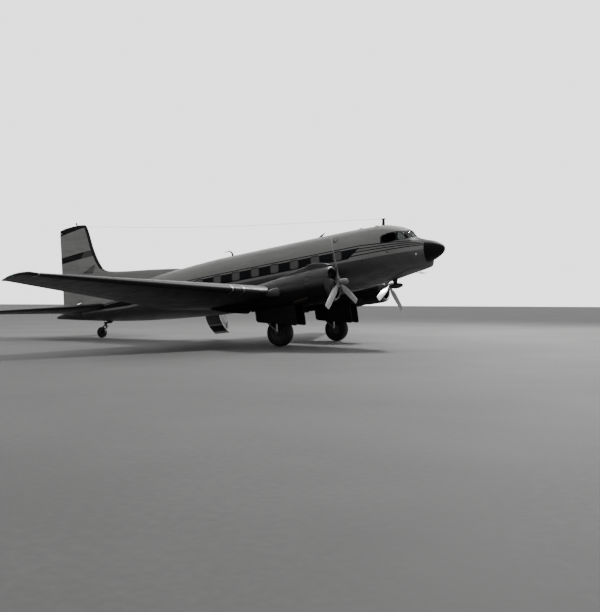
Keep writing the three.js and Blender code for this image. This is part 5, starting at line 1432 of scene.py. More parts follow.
BARREL, HEAD = finned(0.285, 0.430, 0.078, 0.098, 11), finned(0.440, 0.560, 0.082, 0.112, 8)
CYLINDER_PROFILE = np.concatenate([[(0.20, 0.0), (0.20, 0.084), (0.27, 0.084), (0.275, 0.072)], BARREL, HEAD,
                                   [(0.575, 0.085), (0.59, 0.05), (0.592, 0.0)]])
rocker_box = block((-0.055, 0.055), (-0.030, 0.030), (-0.03, 0.035), 0.12)
for name, side in SIDES.items():
    origin = thrust(CYLINDER_S, side=side)
    cylinders, tubes, boxes, leads = [], [], [], []
    for number in range(CYLINDERS):
        cylinders.append(standing(lathe(CYLINDER_PROFILE, origin, (0, 0, 1), 22), number, side))
        for hand in (-1, 1):
            top, foot = origin + [-0.085, hand * 0.055, 0.545], origin + [-0.150, hand * 0.050, 0.250]
            tubes.append(standing(bar(foot, top, 0.011, sides=8), number, side))
            boxes.append(standing(moved(rocker_box, top), number, side))
        start = origin + [-0.175, 0.0, 0.285]
        lead = cord([start, start + [-0.03, 0.02, 0.08], origin + [-0.14, 0.01, 0.42], origin + [-0.09, 0.0, 0.47]],
                    10, 0.006, 6)
        leads.append(standing(lead, number, side))
    piece(f"engine_cylinders_{name}", join(*cylinders), FINS, stands_for=[f"engine_{name}"], sharp=25)
    bolts = [bar(place, place + 0.03 * AFT, 0.010, sides=6)
             for place in around_thrust(3.965, side, 0.236, (np.arange(18) + 0.5) * np.pi / 9)]
    piece(f"crankcase_{name}", join(on_thrust(CRANKCASE, 0, side, 54), *bolts), CASTING)
    piece(f"pushrods_{name}", join(*tubes), ROD)
    piece(f"rocker_boxes_{name}", join(*boxes), CASTING)
    harness = tube(around_thrust(CYLINDER_S - 0.18, side, 0.285, np.linspace(0, 2 * np.pi, 73)), 0.016, 10)
    piece(f"ignition_{name}", join(harness, *leads), LEAD)
print("cylinders:", 2 * CYLINDERS)

# %% [markdown]
# ## Propellers
# Each blade is a row of aerofoil-like sections that widen, thin and untwist from the round shank to the
# square tip. The shanks sit in a barrel with a clamp ring round each, and the pitch-change dome stands in
# front. The blades are bare metal with one stopped just where the CAD model has it.
# %% Make the propellers
BLADE_ROWS = np.array([
    (0.100, 0.110, 0.110, 60), (0.300, 0.115, 0.095, 55), (0.480, 0.190, 0.062, 46), (0.800, 0.228, 0.040, 35),
    (1.300, 0.228, 0.025, 25), (1.650, 0.222, 0.016, 20), (1.730, 0.200, 0.012, 19), (1.750, 0.150, 0.008, 19)])
PROPELLER_PHASE = {"right": 4.5, "left": 111.0}  # degrees of the first blade from straight up
HUB_S, BLADES = 3.600, 3


def blade(side):
    """Sections along the blade: an ellipse near the shank and a fuller front edge outboard, twisted by pitch."""
    r = np.concatenate([np.linspace(BLADE_ROWS[0, 0], 1.62, 40), np.linspace(1.63, BLADE_ROWS[-1, 0], 10)])
    chord, thick, pitch = (between(BLADE_ROWS, column, r)[:, None] for column in (1, 2, 3))
    angle = np.arange(28)[None] * 2 * np.pi / 28
    flat = np.clip((r[:, None] - 0.35) / 0.3, 0, 1)
    across = np.cos(angle) * chord / 2
    through = np.sin(angle) * thick / 2 * (1 + 0.35 * flat * np.cos(angle))
    through = through * np.where(np.sin(angle) < 0, 1 - 0.35 * flat, 1.0)
    p = np.radians(pitch)
    ahead = across * np.sin(p) + through * np.cos(p)
    sideways = through * np.sin(p) - across * np.cos(p)
    return loft(np.stack([HUB_S - ahead, side * ENGINE_Y + sideways, THRUST_H + r[:, None] + 0 * ahead], -1))


def spun(shape, angle, side):
    """Turned about the thrust line the way the CAD model turns it."""
    return turned(shape, angle, "X", thrust(HUB_S, side=side))


for name, side in SIDES.items():
    blades, clamps = [], []
    for number in range(BLADES):
        angle = PROPELLER_PHASE[name] + number * 360 / BLADES
        blades.append(spun(blade(side), angle, side))
        centre = thrust(HUB_S, side=side)
        clamp = lathe([(0.095, 0.0), (0.095, 0.078), (0.105, 0.082), (0.20, 0.082), (0.205, 0.074), (0.225, 0.074),
                       (0.23, 0.066), (0.27, 0.064), (0.272, 0.0)], centre, (0, 0, 1), 28)
        ears = [moved(block((-0.05, 0.05), (hand * 0.078, hand * 0.108), (0.11, 0.19), 0.1), centre)
                for hand in (-1, 1)]
        clamps.append(spun(join(clamp, *ears), angle, side))
    piece(f"blades_{name}", join(*blades), BLADE, body=f"propeller_{name}", stands_for=[f"propeller_{name}"])
    barrel = on_thrust([(-0.09, 0.0), (-0.09, 0.085), (-0.075, 0.115), (-0.055, 0.135), (0.085, 0.135),
                        (0.10, 0.12), (0.128, 0.108), (0.129, 0.0)], HUB_S, side, 48)
    nose = on_thrust([(-0.420, 0.0), (-0.418, 0.030), (-0.408, 0.055), (-0.388, 0.076), (-0.360, 0.093),
                      (-0.32, 0.105), (-0.27, 0.112), (-0.13, 0.117), (-0.125, 0.125), (-0.105, 0.125),
                      (-0.10, 0.118), (-0.08, 0.118), (-0.08, 0.0)], HUB_S, side, 48)
    piece(f"hub_{name}", join(barrel, nose, *clamps), HUB, body=f"propeller_{name}")
print("blades:", 2 * BLADES)

# %% [markdown]
# ## Wheels and tyres
# A wheel is a casting with a dish, ten ribs, ten bolts and a flange at each bead, and the tyre is a rounded
# section with a few grooves sunk round its tread. Both are profiles turned about the axle, which is how the
# real ones are machined and moulded. The main wheel also carries a finned brake drum on its inner face.
# %% Make the wheels and tyres
TAIL_ROW = np.mean([np.array(corner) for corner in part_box("tail_tyre")], axis=0)
TAIL_AXLE = (17.930, 0.0, -0.9547)
MAIN_TYRE = {"radius": float(AXLE_ROW[2]), "half": 0.200, "rim": 0.300, "bore": 0.0405, "grooves": 5}
TAIL_TYRE = {"radius": float(TAIL_ROW[2]), "half": 0.105, "rim": 0.130, "bore": 0.0227, "grooves": 3}
ACROSS_AXLE = np.array([0.0, 1.0, 0.0])
GROOVE = {"half": 0.0045, "depth": 0.008, "spread": 0.56}


def tyre_reach(size, y):
    """Radius of the tyre at an offset y from its middle, on a superellipse of power 0.8."""
    middle = (size["radius"] + size["rim"]) / 2
    rise = (np.abs(y) / size["half"]) ** 1.25
    return middle + (size["radius"] - middle) * np.sqrt(np.clip(1 - rise ** 2, 0, 1)) ** 0.8


def tyre(size, centre, sides=160):
    """A tyre: the tread with its grooves, the rounded walls, and the way back along the rim."""
    half = size["half"]
    tread = [(y, tyre_reach(size, y)) for y in np.linspace(-0.93, 0.93, 40) * half]
    for y in np.linspace(-1, 1, size["grooves"]) * GROOVE["spread"] * half:
        tread = [point for point in tread if abs(point[0] - y) > GROOVE["half"] * 1.3]
        for share, sunk in ((-1, 0), (-0.75, 1), (0.75, 1), (1, 0)):
            at = y + share * GROOVE["half"]
            tread.append((at, tyre_reach(size, at) - sunk * GROOVE["depth"]))
    angle = np.radians(np.linspace(72, 128, 12))
    middle = (size["radius"] + size["rim"]) / 2
    wall = np.stack([half * np.sin(angle) ** 0.8, middle + (size["radius"] - middle) * np.sign(np.cos(angle))
                     * np.abs(np.cos(angle)) ** 0.8], -1)
    wall = np.concatenate([wall, [(0.7 * half, size["rim"])]])
    inner = max(point[0] for point in tread)
    wall = wall[wall[:, 0] * np.where(wall[:, 1] > middle, 1, 9) > inner + 0.002]
    profile = np.concatenate([(wall * [-1, 1])[::-1], sorted(tread), wall, [(-0.7 * half, size["rim"])]])
    return lathe(profile, centre, ACROSS_AXLE, sides)


def wheel(size, centre, ribs=10):
    """A cast wheel: hub, dish, rim and bead flanges in one turned profile, then ribs and bolts on each face."""
    half, rim, bore = size["half"], size["rim"], size["bore"]
    face = np.array([
        (0.72 * half, bore + 0.002), (0.73 * half, rim * 0.24), (0.69 * half, rim * 0.30),
        (0.42 * half, rim * 0.38), (0.31 * half, rim * 0.46), (0.33 * half, rim * 0.78),
        (0.42 * half, rim * 0.87), (0.66 * half, rim * 0.90), (0.75 * half, rim * 0.97),
        (0.79 * half, rim * 1.07), (0.75 * half, rim * 1.09), (0.70 * half, rim * 1.05), (0.66 * half, rim * 1.01)])
    profile = np.concatenate([face * [-1, 1], face[::-1], [face[0] * [-1, 1]]])
    shapes = [lathe(profile, centre, ACROSS_AXLE, 96)]
    for number in range(ribs):
        for hand in (-1, 1):
            rib = block((-0.012 * rim / 0.3, 0.012 * rim / 0.3), (hand * 0.25 * half, hand * 0.47 * half),
                        (rim * 0.36, rim * 0.86), 0.12)
            bolt = lathe([(0, 0), (0, 0.030 * rim), (0.02, 0.030 * rim), (0.024, 0.0)], (0, hand * 0.66 * half,
                         rim * 0.20), (0, hand, 0), 6)
            turn = number * 360 / ribs
            shapes.append(moved(turned(rib, turn, "Y"), centre))
            shapes.append(moved(turned(bolt, turn + 18, "Y"), centre))
    return join(*shapes)


def drum(centre, inward):
    """A brake drum: a short cylinder with cooling fins, tucked in the dish on one side of the wheel."""
    steps = [(0.030, 0.0), (0.030, 0.150)]
    for number in range(6):
        at = 0.045 + 0.014 * number
        steps += [(at, 0.150), (at + 0.002, 0.178), (at + 0.007, 0.178), (at + 0.009, 0.150)]
    return lathe(steps + [(0.132, 0.150), (0.134, 0.06), (0.134, 0.0)], centre, (0, inward, 0), 64)


for name, side in SIDES.items():
    centre = (AXLE_S, side * AXLE_Y, AXLE_H)
    carrier = f"main_wheel_{name}"
    piece(f"tyre_{name}", tyre(MAIN_TYRE, centre), TYRE, carrier, stands_for=[f"main_tyre_{name}"], sharp=40)
    piece(f"wheel_{name}", wheel(MAIN_TYRE, centre), WHEEL, carrier, stands_for=[f"main_wheel_{name}"])
    piece(f"brake_drum_{name}", drum(centre, -side), CASTING, carrier)
piece("tail_tyre_tread", tyre(TAIL_TYRE, TAIL_AXLE, 96), TYRE, "tail_wheel", stands_for=["tail_tyre"], sharp=40)
piece("tail_wheel_disc", wheel(TAIL_TYRE, TAIL_AXLE, 8), WHEEL, "tail_wheel", stands_for=["tail_wheel"])
print("tyres:", 3)

# %% [markdown]
# ## Main landing gear
# Each main wheel hangs between two oleo legs. The upper cylinder of a leg is painted and the piston below
# it is chromed, so the leg is one turned profile with a collar between them. Crossed tubes stiffen the
# pair of legs above the tyre, and two long braces run back and up to the wheel well with a tie between.
# %% Make the legs, braces and gear doors
LEG = {"spread": 0.272, "bridge": (6.262, -1.240), "top": (6.250, -1.165), "knee": (6.380, -1.900),
       "foot": (AXLE_S, AXLE_H)}
BRACE = {"top": (7.560, -1.160), "foot": (6.480, -2.400), "lug": -1.000, "tie": (6.900, -1.965),
         "collar": (7.230, -1.539)}
GEAR_DOOR = {"offset": 0.395, "half": 0.012, "outline": [(5.450, -1.380), (5.450, -2.270), (5.510, -2.315),
                                                         (7.170, -1.950), (7.250, -1.870), (7.250, -1.330)]}


def at_y(place, y):
    """A point (station, height) taken out to an offset y."""
    return np.array([place[0], y, place[1]])


def crossbar(place, y, reach, radius, sides=16):
    """A bar along the span at a place (station, height), reaching equally far each way from an offset y."""
    return bar(at_y(place, y - reach), at_y(place, y + reach), radius, sides)


def turned_bar(start, end, profile, sides=24):
    """A round bar with a turned profile of (share of its length, radius) between two points."""
    long = np.linalg.norm(np.subtract(end, start))
    profile = [(share * long, radius) for share, radius in profile]
    return lathe([(profile[0][0], 0), *profile, (profile[-1][0], 0)], start, np.subtract(end, start), sides)


CYLINDER = [(0.0, 0.052), (0.02, 0.060), (0.06, 0.062), (0.50, 0.062), (0.51, 0.068), (0.56, 0.068), (0.57, 0.062),
            (0.90, 0.062), (0.905, 0.074), (0.985, 0.074), (1.0, 0.050)]
BOSS = [(0.0, 0.045), (0.06, 0.070), (0.14, 0.075), (0.86, 0.075), (0.94, 0.070), (1.0, 0.045)]
STRUT = [(0.0, 0.026), (0.03, 0.028), (0.06, 0.034), (0.94, 0.034), (0.97, 0.028), (1.0, 0.026)]


def legs(y):
    """Painted parts of one gear: two cylinders, their cross tubes, the bridge, the axle and its end bosses."""
    shapes = [crossbar(LEG["bridge"], y, 0.345, 0.060), crossbar(LEG["foot"], y, LEG["spread"], 0.040)]
    for hand in (-1, 1):
        leg_y = y + hand * LEG["spread"]
        shapes += [turned_bar(at_y(LEG["top"], leg_y), at_y(LEG["knee"], leg_y), CYLINDER, 32),
                   turned_bar(at_y(LEG["foot"], leg_y - 0.045), at_y(LEG["foot"], leg_y + 0.045), BOSS, 32),
                   crossbar(LEG["foot"], leg_y + hand * 0.055, 0.011, 0.034, 6),
                   bar((6.275, leg_y, -1.320), (6.368, y - hand * LEG["spread"], -1.840), 0.017)]
    return join(*shapes)


def pistons(y):
    """The two chromed pistons of one gear."""
    return join(*[bar(at_y(LEG["knee"], leg_y), at_y(LEG["foot"], leg_y), 0.046, 28)
                  for leg_y in (y - LEG["spread"], y + LEG["spread"])])


def hoses(y):
    """Brake hoses that run down behind the legs and loop in to the drum."""
    shapes = []
    for hand in (-1, 1):
        leg_y = y + hand * LEG["spread"]
        run = [(6.34, leg_y, -1.14), (6.42, leg_y, -1.50), (6.47, leg_y, -1.88), (6.56, leg_y - hand * 0.01, -2.14),
               (6.56, leg_y - hand * 0.05, -2.32), (6.51, leg_y - hand * 0.11, -2.38)]
        shapes.append(cord(run, 40, 0.009, 8))
    return join(*shapes)


def braces(y):
    """Two rear struts, their cross tubes and crossed ties, and the lugs that hang them in the well."""
    shapes = [crossbar(BRACE["top"], y, LEG["spread"], 0.040), crossbar(BRACE["tie"], y, LEG["spread"], 0.028)]
    for hand in (-1, 1):
        strut_y, other_y = y + hand * LEG["spread"], y - hand * LEG["spread"]
        top, foot, collar = (at_y(place, strut_y) for place in (BRACE["top"], BRACE["foot"], BRACE["collar"]))
        along = 0.03 * (foot - top) / np.linalg.norm(foot - top)
        shapes += [turned_bar(top, foot, STRUT), bar(top, (top[0], strut_y, BRACE["lug"]), 0.030),
                   bar((7.500, strut_y, -1.232), (6.960, other_y, -1.900), 0.011),
                   bar(collar - along, collar + along, 0.042)]
    return join(*shapes)


def gear_door(y, inward):
    """A flat door with round corners, a folded rim, ribs and two hinge arms on the face towards the wheel."""
    outline = softened(GEAR_DOOR["outline"], 0.030)
    shapes = [prism(outline, (y - GEAR_DOOR["half"], y + GEAR_DOOR["half"]), 1)]
    face = y + inward * GEAR_DOOR["half"]
    ring = np.concatenate([outline, outline[:1]])
    middle = outline.mean(0)
    rim = middle + (ring - middle) * 0.955
    shapes.append(tube(np.insert(rim, 1, face, axis=1), 0.011, 8))
    for s in (5.80, 6.20, 6.60, 7.00):
        foot = np.interp(s, [5.51, 7.17], [-2.315, -1.950]) + 0.07
        shapes.append(block((s - 0.018, s + 0.018), (face, face + inward * 0.020), (foot, -1.42), 0.05))
    shapes.append(block((5.52, 7.19), (face, face + inward * 0.014), (-1.79, -1.755), 0.02))
    return join(*shapes)


for name, side in SIDES.items():
    y = side * AXLE_Y
    piece(f"oleo_legs_{name}", legs(y), GEAR, stands_for=[f"gear_legs_{name}"])
    piece(f"oleo_pistons_{name}", pistons(y), CHROME)
    piece(f"brake_hoses_{name}", hoses(y), BLACK)
    piece(f"gear_struts_{name}", braces(y), STRUT_PAINT, stands_for=[f"gear_brace_{name}"])
    for place, hand in (("inner", -side), ("outer", side)):
        door = gear_door(y + hand * GEAR_DOOR["offset"], -hand)
        piece(f"gear_flap_{place}_{name}", door, COWL_SKIN, stands_for=[f"gear_door_{place}_{name}"])
print("gear doors:", 4)

# %% [markdown]
# ## Tail gear
# The tail wheel trails in a fork that swivels under a short strut, so the fork is its own body. Its arms
# start wide on the head and curve down to the axle. The strut stays with the airframe and carries a
# rubber gaiter where it enters the tail.
# %% Make the tail strut and its fork
PIVOT, PIVOT_GAP = (17.640, -0.646), 0.0005
AXLE = (TAIL_AXLE[0], TAIL_AXLE[2])
strut = tube([(17.150, 0, -0.440), (17.40, 0, -0.497), (PIVOT[0], 0, -0.550)], [0.070, 0.065, 0.060], 28)
post = turned_bar((PIVOT[0], 0, -0.470), (PIVOT[0], 0, PIVOT[1] + PIVOT_GAP),
                  [(0.0, 0.062), (0.60, 0.062), (0.62, 0.070), (0.96, 0.070), (1.0, 0.062)], 32)
piece("tail_leg", join(strut, post), GEAR, stands_for=["tail_strut"])
folds = [(0.012 * step, 0.100 if step % 2 else 0.084) for step in range(12)]
gaiter = lathe([(0, 0.06), *folds, (0.132, 0.06)], (17.235, 0, -0.462), (0.97, 0, -0.22), 32)
piece("tail_gaiter", gaiter, BOOT)
head = turned_bar((PIVOT[0], 0, PIVOT[1]), (PIVOT[0], 0, -0.700), [(0.0, 0.084), (0.15, 0.090), (0.85, 0.090),
                                                                 (1.0, 0.084)], 36)
yoke = [head, block((PIVOT[0] - 0.050, PIVOT[0] + 0.050), (-0.170, 0.170), (-0.700, -0.652), 0.08),
        crossbar(AXLE, 0, 0.150, 0.022)]
for hand in (-1, 1):
    run = [(PIVOT[0], hand * 0.140, -0.675), (17.76, hand * 0.147, -0.760), (17.860, hand * 0.147, -0.862),
           at_y(AXLE, hand * 0.145)]
    yoke.append(cord(run, 20, np.linspace(0.032, 0.028, 20), 18))
    yoke.append(crossbar(AXLE, hand * 0.145, 0.027, 0.045))
    yoke.append(crossbar(AXLE, hand * 0.179, 0.007, 0.026, 6))
piece("tail_yoke", join(*yoke), GEAR, "tail_fork", stands_for=["tail_fork"])
print("tail gear done")

# %% [markdown]
# ## The airstair
# The entry door hinges at its sill and carries the steps, so it is drawn shut, where its skin follows the
# fuselage, and is then turned open about its hinge. Its outer skin keeps the paint of the place that it
# closes. Inside it are four treads between two side plates, and a curved handrail.
# %% Make the airstair
DOOR_HINGE = (0.0, 0.8856, -0.704)
DOOR_SWING = -140
TREAD_HEIGHTS = [-0.420, -0.130, 0.160, 0.450]
RAIL_PATH = [(0.960, -0.560), (0.720, -0.470), (0.650, -0.330), (0.620, -0.090), (0.640, 0.220), (0.720, 0.350),
             (1.080, 0.500)]


def slab(outer, inner, uv=None):
    """A closed plate between two matching grids: both faces, and a strip round all four edges."""
    edges = [np.concatenate([grid[0, :-1], grid[:-1, -1], grid[-1, :0:-1], grid[:0:-1, 0]])
             for grid in (outer, inner)]
    return join(sheet(outer, uv), sheet(inner), sheet(np.stack(edges), wrap=True))


def opened(shape):
    """The door's shape swung from shut to open."""
    return turned(shape, DOOR_SWING, "X", DOOR_HINGE)


def door_grid(inset, ends=0.0, heights=(-0.688, 0.700)):
    """A grid over the door's place on the side of the body, moved inwards by an inset and short of its ends."""
    s = np.linspace(DOOR["front"] + ends, DOOR["back"] - ends, 13)
    return on_side(np.stack(np.meshgrid(s, np.linspace(*heights, 24)), -1), -inset)


def door_width(margin):
    """The stations of the door's two ends, each drawn in by a margin."""
    return DOOR["front"] + margin, DOOR["back"] - margin


outer = door_grid(0.0)
stair_skin = slab(outer, door_grid(DOOR["thick"]), outer[..., [2, 0]])
piece("stair_skin", opened(stair_skin), DOOR_SKIN, "airstair_door", stands_for=["airstair_door"])

trim = [slab(*[door_grid(inset, 0.04, (-0.64, 0.66)) for inset in (0.049, 0.056)])]
for s in door_width(0.085):
    h = np.linspace(-0.60, 0.56, 24)
    deep = np.stack([np.full(24, s), side_of_body(s, h) - 0.052, h], -1)
    proud = deep.copy()
    proud[:, 1] = np.minimum(deep[:, 1] - 0.02, 0.745 + 0.35 * np.clip(np.abs(h) - 0.42, 0, 1) ** 1.2)
    grid = np.stack([deep, proud])
    trim.append(slab(grid - [0.007, 0, 0], grid + [0.007, 0, 0]))
piece("stair_side_plates", opened(join(*trim)), STAIR_METAL, "airstair_door")
treads, grips = [], []
for h in TREAD_HEIGHTS:
    back = float(side_of_body(11.96, h)) - 0.075
    treads.append(block(door_width(0.092), (0.752, back), (h - 0.014, h + 0.010), 0.02))
    for y in np.linspace(0.785, back - 0.045, 7):
        grips += [block(door_width(0.12), (y, y + 0.018), (h + low, h + high), 0.05)
                  for low, high in ((0.009, 0.015), (-0.020, -0.013))]
piece("stair_treads", opened(join(*treads)), STAIR_METAL, "airstair_door")
piece("stair_grips", opened(join(*grips)), BOOT, "airstair_door")
rail_s = DOOR["front"] + 0.060
rail = [cord([(rail_s, y, h) for y, h in RAIL_PATH], 60, 0.019, 16)]
for index, h in ((1, -0.47), (4, 0.22)):
    y = RAIL_PATH[index][0]
    rail.append(bar((rail_s, y, h), (rail_s + 0.02, float(side_of_body(rail_s, h)) - 0.05, h - 0.03), 0.011))
piece("stair_rail", opened(join(*rail)), CHROME, "airstair_door")
knuckles = [bar((s, *DOOR_HINGE[1:]), (s + 0.060, *DOOR_HINGE[1:]), 0.008)
            for s in (DOOR["front"] + 0.080, DOOR["back"] - 0.140)]
piece("stair_knuckles", join(*knuckles), STAIR_METAL, "airstair_door")
print("treads:", len(TREAD_HEIGHTS))

# %% [markdown]
# ## The lobby
# Behind the open doorway one sees a short lobby. A thin lining follows the hollow in the fuselage and is cut
# by the same doorway. It has a dark mat on its floor, a door with a frame in the wall towards the cabin and
# a rack at the back. A seal runs up the sides of the doorway and over its top.
# %% Line the lobby
lining_cutters = [mesh_of("lobby_inside", lobby_room(0.010)), doorway_mesh]
piece("lobby_lining", cut(mesh_of("lobby_outside", lobby_room(0.002)), lining_cutters), LINING)
piece("lobby_mat", block((11.34, 12.58), (-0.80, 0.72), (-0.689, -0.680), 0.01), MAT)
inside = [block((11.322, 11.340), (-0.34, 0.34), (-0.68, 0.80), 0.01),
          bar((11.350, 0.27, 0.02), (11.350, 0.27, 0.16), 0.012)]
inside += [bar((11.338, y, -0.68), (11.338, y, 0.80), 0.018) for y in (-0.36, 0.36)]
for h in (0.05, 0.42):
    inside.append(block((12.20, 12.595), (-0.95, 0.60), (h, h + 0.02), 0.01))
    inside.append(bar((12.20, -0.95, h + 0.03), (12.20, 0.60, h + 0.03), 0.012))
piece("lobby_fittings", join(*inside), COCKPIT)
SEAL_OUT = 0.016
(front, back), top = door_width(-SEAL_OUT), DOOR["top"] + SEAL_OUT
bends = softened([(front, -1.0), (back, -1.0), (back, top), (front, top)], 0.02)
back_bend, front_bend = np.split(bends[bends[:, 1] > 0], 2)
feet = [(bend[0], DOOR["sill"] + 0.03) for bend in (back_bend[0], front_bend[-1])]
dense = np.concatenate([np.linspace(feet[0], back_bend[0], 60)[:-1], back_bend,
                        np.linspace(back_bend[-1], front_bend[0], 30)[1:-1], front_bend,
                        np.linspace(front_bend[-1], feet[1], 60)[1:]])
piece("doorway_seal", tube(on_side(dense, -0.006), 0.008, 8), BLACK)
print("lobby lined")

# %% [markdown]
# ## The flight deck
# Through the windscreen show a black instrument panel under its glare shield, two seats and two control
# wheels. The dials are shallow dishes in two groups with pale ticks, and levers with round knobs stand on
# the pedestal. A bulkhead with a doorway closes the deck behind the crew.
# %% Make the panel, the floor and the controls
FLOOR_H, FLOOR_THICK, FLOOR_CLEAR, PANEL_S = -0.420, 0.040, 0.064, (1.450, 1.530)
SEAT_Y = 0.470


def knob(place, axis, radius, sides):
    """A small round knob with a crest round its middle."""
    return lathe([(-0.018, 0), (-0.012, radius), (0, radius + 0.005), (0.012, radius), (0.018, 0)], place, axis, sides)


def deck_plate(low, high):
    """A floor plate as wide as the deck at each station, clear of the skin and its lining."""
    s = np.linspace(1.352, 3.285, 30)
    half = np.maximum(side_of_body(s, low) - FLOOR_CLEAR, 0.1)
    corners = [np.stack([s, side * half, np.full(30, h)], -1)
               for side, h in ((1, low), (-1, low), (-1, high), (1, high))]
    return loft(np.stack(corners, 1))


piece("deck_floor_mat", deck_plate(FLOOR_H - FLOOR_THICK, FLOOR_H), MAT, stands_for=["flight_deck_floor"])
outline = [(-0.86, 0.06), (0.86, 0.06), (0.84, 0.40), (0.78, 0.50), (0.30, 0.545), (-0.30, 0.545), (-0.78, 0.50),
           (-0.84, 0.40)]
shield = [(-0.80, 0.49), (0.80, 0.49), (0.76, 0.525), (0.30, 0.570), (-0.30, 0.570), (-0.76, 0.525)]
panel = [prism(softened(outline, 0.05), PANEL_S, 0), prism(softened(shield, 0.02), (1.400, 1.640), 0),
         block((1.500, 1.900), (-0.130, 0.130), (FLOOR_H, 0.120), 0.03),
         block((1.480, 1.520), (-0.300, 0.300), (FLOOR_H, 0.100), 0.02)]
for number, y in enumerate(np.linspace(-0.09, 0.09, 6)):
    lean = 0.03 * (number % 3)
    panel.append(bar((1.66, y, 0.11), (1.60 + lean, y, 0.29), 0.006))
    panel.append(knob((1.60 + lean, y, 0.30), (0, 1, 0), 0.014, 14))
piece("panel_body", join(*panel), BLACK, stands_for=["instrument_panel"], sharp=40)
bezels, ticks = [], []
DIALS = [(side * (0.32 + 0.115 * column), 0.42 - 0.115 * row, 0.046) for side in (-1, 1) for column in range(4)
         for row in range(3)] + [(0.085 * column, 0.44 - 0.085 * row, 0.032) for column in (-2, -1, 0, 1, 2)
                                 for row in range(3)]
for y, h, radius in DIALS:
    face = np.array([PANEL_S[1], y, h])
    bezels.append(lathe([(0.001, 0), (0.001, radius * 0.84), (0.010, radius * 0.90), (0.011, radius),
                         (0.0, radius * 1.04)], face, (1, 0, 0), 24))
    for number in range(8):
        tick = block((0.001, 0.0022), (-0.0014, 0.0014), (radius * 0.62, radius * 0.80))
        ticks.append(moved(turned(tick, number * 45, "X"), face))
    needle = block((0.0025, 0.004), (-0.0016, 0.0016), (-radius * 0.15, radius * 0.62))
    ticks.append(moved(turned(needle, 360 * (y * 7 + h * 13), "X"), face))
piece("dial_bezels", join(*bezels), DIAL)
piece("dial_marks", join(*ticks), MARKS)
for name, side in SIDES.items():
    y = side * SEAT_Y
    parts = [cord([(2.075, y, FLOOR_H + 0.01), (2.070, y, -0.20), (2.040, y, 0.02), (2.000, y, 0.17)], 24,
                  np.linspace(0.032, 0.024, 24), 20),
             lathe([(0, 0), (0, 0.075), (0.03, 0.070), (0.07, 0.040), (0.075, 0)], (2.075, y, FLOOR_H), (0, 0, 1),
                   24),
             lathe([(-0.03, 0), (-0.028, 0.040), (0.025, 0.045), (0.032, 0.03), (0.034, 0)], (2.000, y, 0.17),
                   (1, 0, 0), 24)]
    half_rim = [(2.010, 0.120, 0.300), (2.008, 0.185, 0.290), (2.000, 0.180, 0.180), (2.000, 0.100, 0.125)]
    rim = [(s, y - across, h) for s, across, h in half_rim] + [(2.000, y, 0.150)]
    rim += [(s, y + across, h) for s, across, h in half_rim[::-1]]
    parts.append(cord(rim, 64, 0.015))
    piece(f"yoke_{name}", join(*parts), BLACK, stands_for=[f"control_column_{name}"])
bulkhead = softened([(-1.08, -0.42), (1.08, -0.42), (1.12, 0.10), (0.95, 0.70), (0.55, 1.02), (-0.55, 1.02),
                     (-0.95, 0.70), (-1.12, 0.10)], 0.10)
back_wall = [prism(bulkhead, (3.262, 3.282), 0), block((3.235, 3.264), (-0.33, 0.33), (-0.42, 0.86), 0.02),
             bar((3.225, 0.25, 0.14), (3.225, 0.25, 0.26), 0.012)]
piece("deck_bulkhead", join(*back_wall), COCKPIT)
print("dials:", len(DIALS))

# %% [markdown]
# ## Padded seats
# A cushion is a bag of cloth blown tight over its filling. The pad starts as a soft box, its surface is
# remade as an even net, and twenty frames of cloth under a small inner pressure give it its crown and its
# fine puckers. No point may move further than a cap, so the pad stays in the space of its solid.
# %% Stuff the cushions


def soft_box(size, corner, count=10, power=5.0):
    """A box with round edges: a cube grid pushed out to a superellipsoid of the given power."""
    t = np.linspace(-1, 1, count)
    u, v = np.meshgrid(t, t, indexing="ij")
    faces = []
    for axis in range(3):
        for sign in (-1, 1):
            grid = np.insert(np.stack([u, v], -1), axis, sign, axis=2)
            norm = (np.abs(grid) ** power).sum(-1, keepdims=True) ** (1 / power)
            faces.append(sheet(np.asarray(corner) + grid / norm * np.asarray(size) / 2))
    return join(*faces)


def stuffed(name, shape, cap, voxel=0.009, pressure=4.0):
    """A mesh blown up by twenty frames of cloth, with each point held within a cap of where it began."""
    pad = bpy.data.objects.new(name, mesh_of(name, shape))
    bpy.context.collection.objects.link(pad)
    net = pad.modifiers.new("net", "REMESH")
    net.mode, net.voxel_size = "VOXEL", voxel
    even = bpy.data.meshes.new_from_object(pad.evaluated_get(bpy.context.evaluated_depsgraph_get()))
    pad.modifiers.clear()
    pad.data = even
    start = np.empty(3 * len(even.vertices), np.float32)
    even.vertices.foreach_get("co", start)
    moved_to = start.copy()
    cloth = pad.modifiers.new("cloth", "CLOTH")
    cloth.settings.use_pressure, cloth.settings.uniform_pressure_force = True, pressure
    cloth.settings.effector_weights.gravity = 0.0
    cloth.settings.tension_stiffness, cloth.settings.bending_stiffness = 12.0, 0.4
    cloth.point_cache.frame_start, cloth.point_cache.frame_end = 1, 20
    for number in range(1, 21):
        bpy.context.scene.frame_set(number)
    blown = bpy.data.meshes.new_from_object(pad.evaluated_get(bpy.context.evaluated_depsgraph_get()))
    blown.vertices.foreach_get("co", moved_to)
    pad.modifiers.clear()
    bpy.context.scene.frame_set(1)
    travel = (moved_to - start).reshape(-1, 3)
    long = np.linalg.norm(travel, axis=1, keepdims=True)
    travel *= np.minimum(1.0, cap / np.maximum(long, 1e-9))
    even.vertices.foreach_set("co", (start.reshape(-1, 3) + travel).ravel())
    pad.modifiers.new("smooth", "SUBSURF").levels = 1
    result = bpy.data.meshes.new_from_object(pad.evaluated_get(bpy.context.evaluated_depsgraph_get()))
    bpy.data.objects.remove(pad)
    return result


def shifted_copy(mesh, offset):
    """A copy of a mesh moved sideways in the row frame."""
    twin = mesh.copy()
    twin.transform(Matrix.Translation((0, offset, 0)))
    return twin


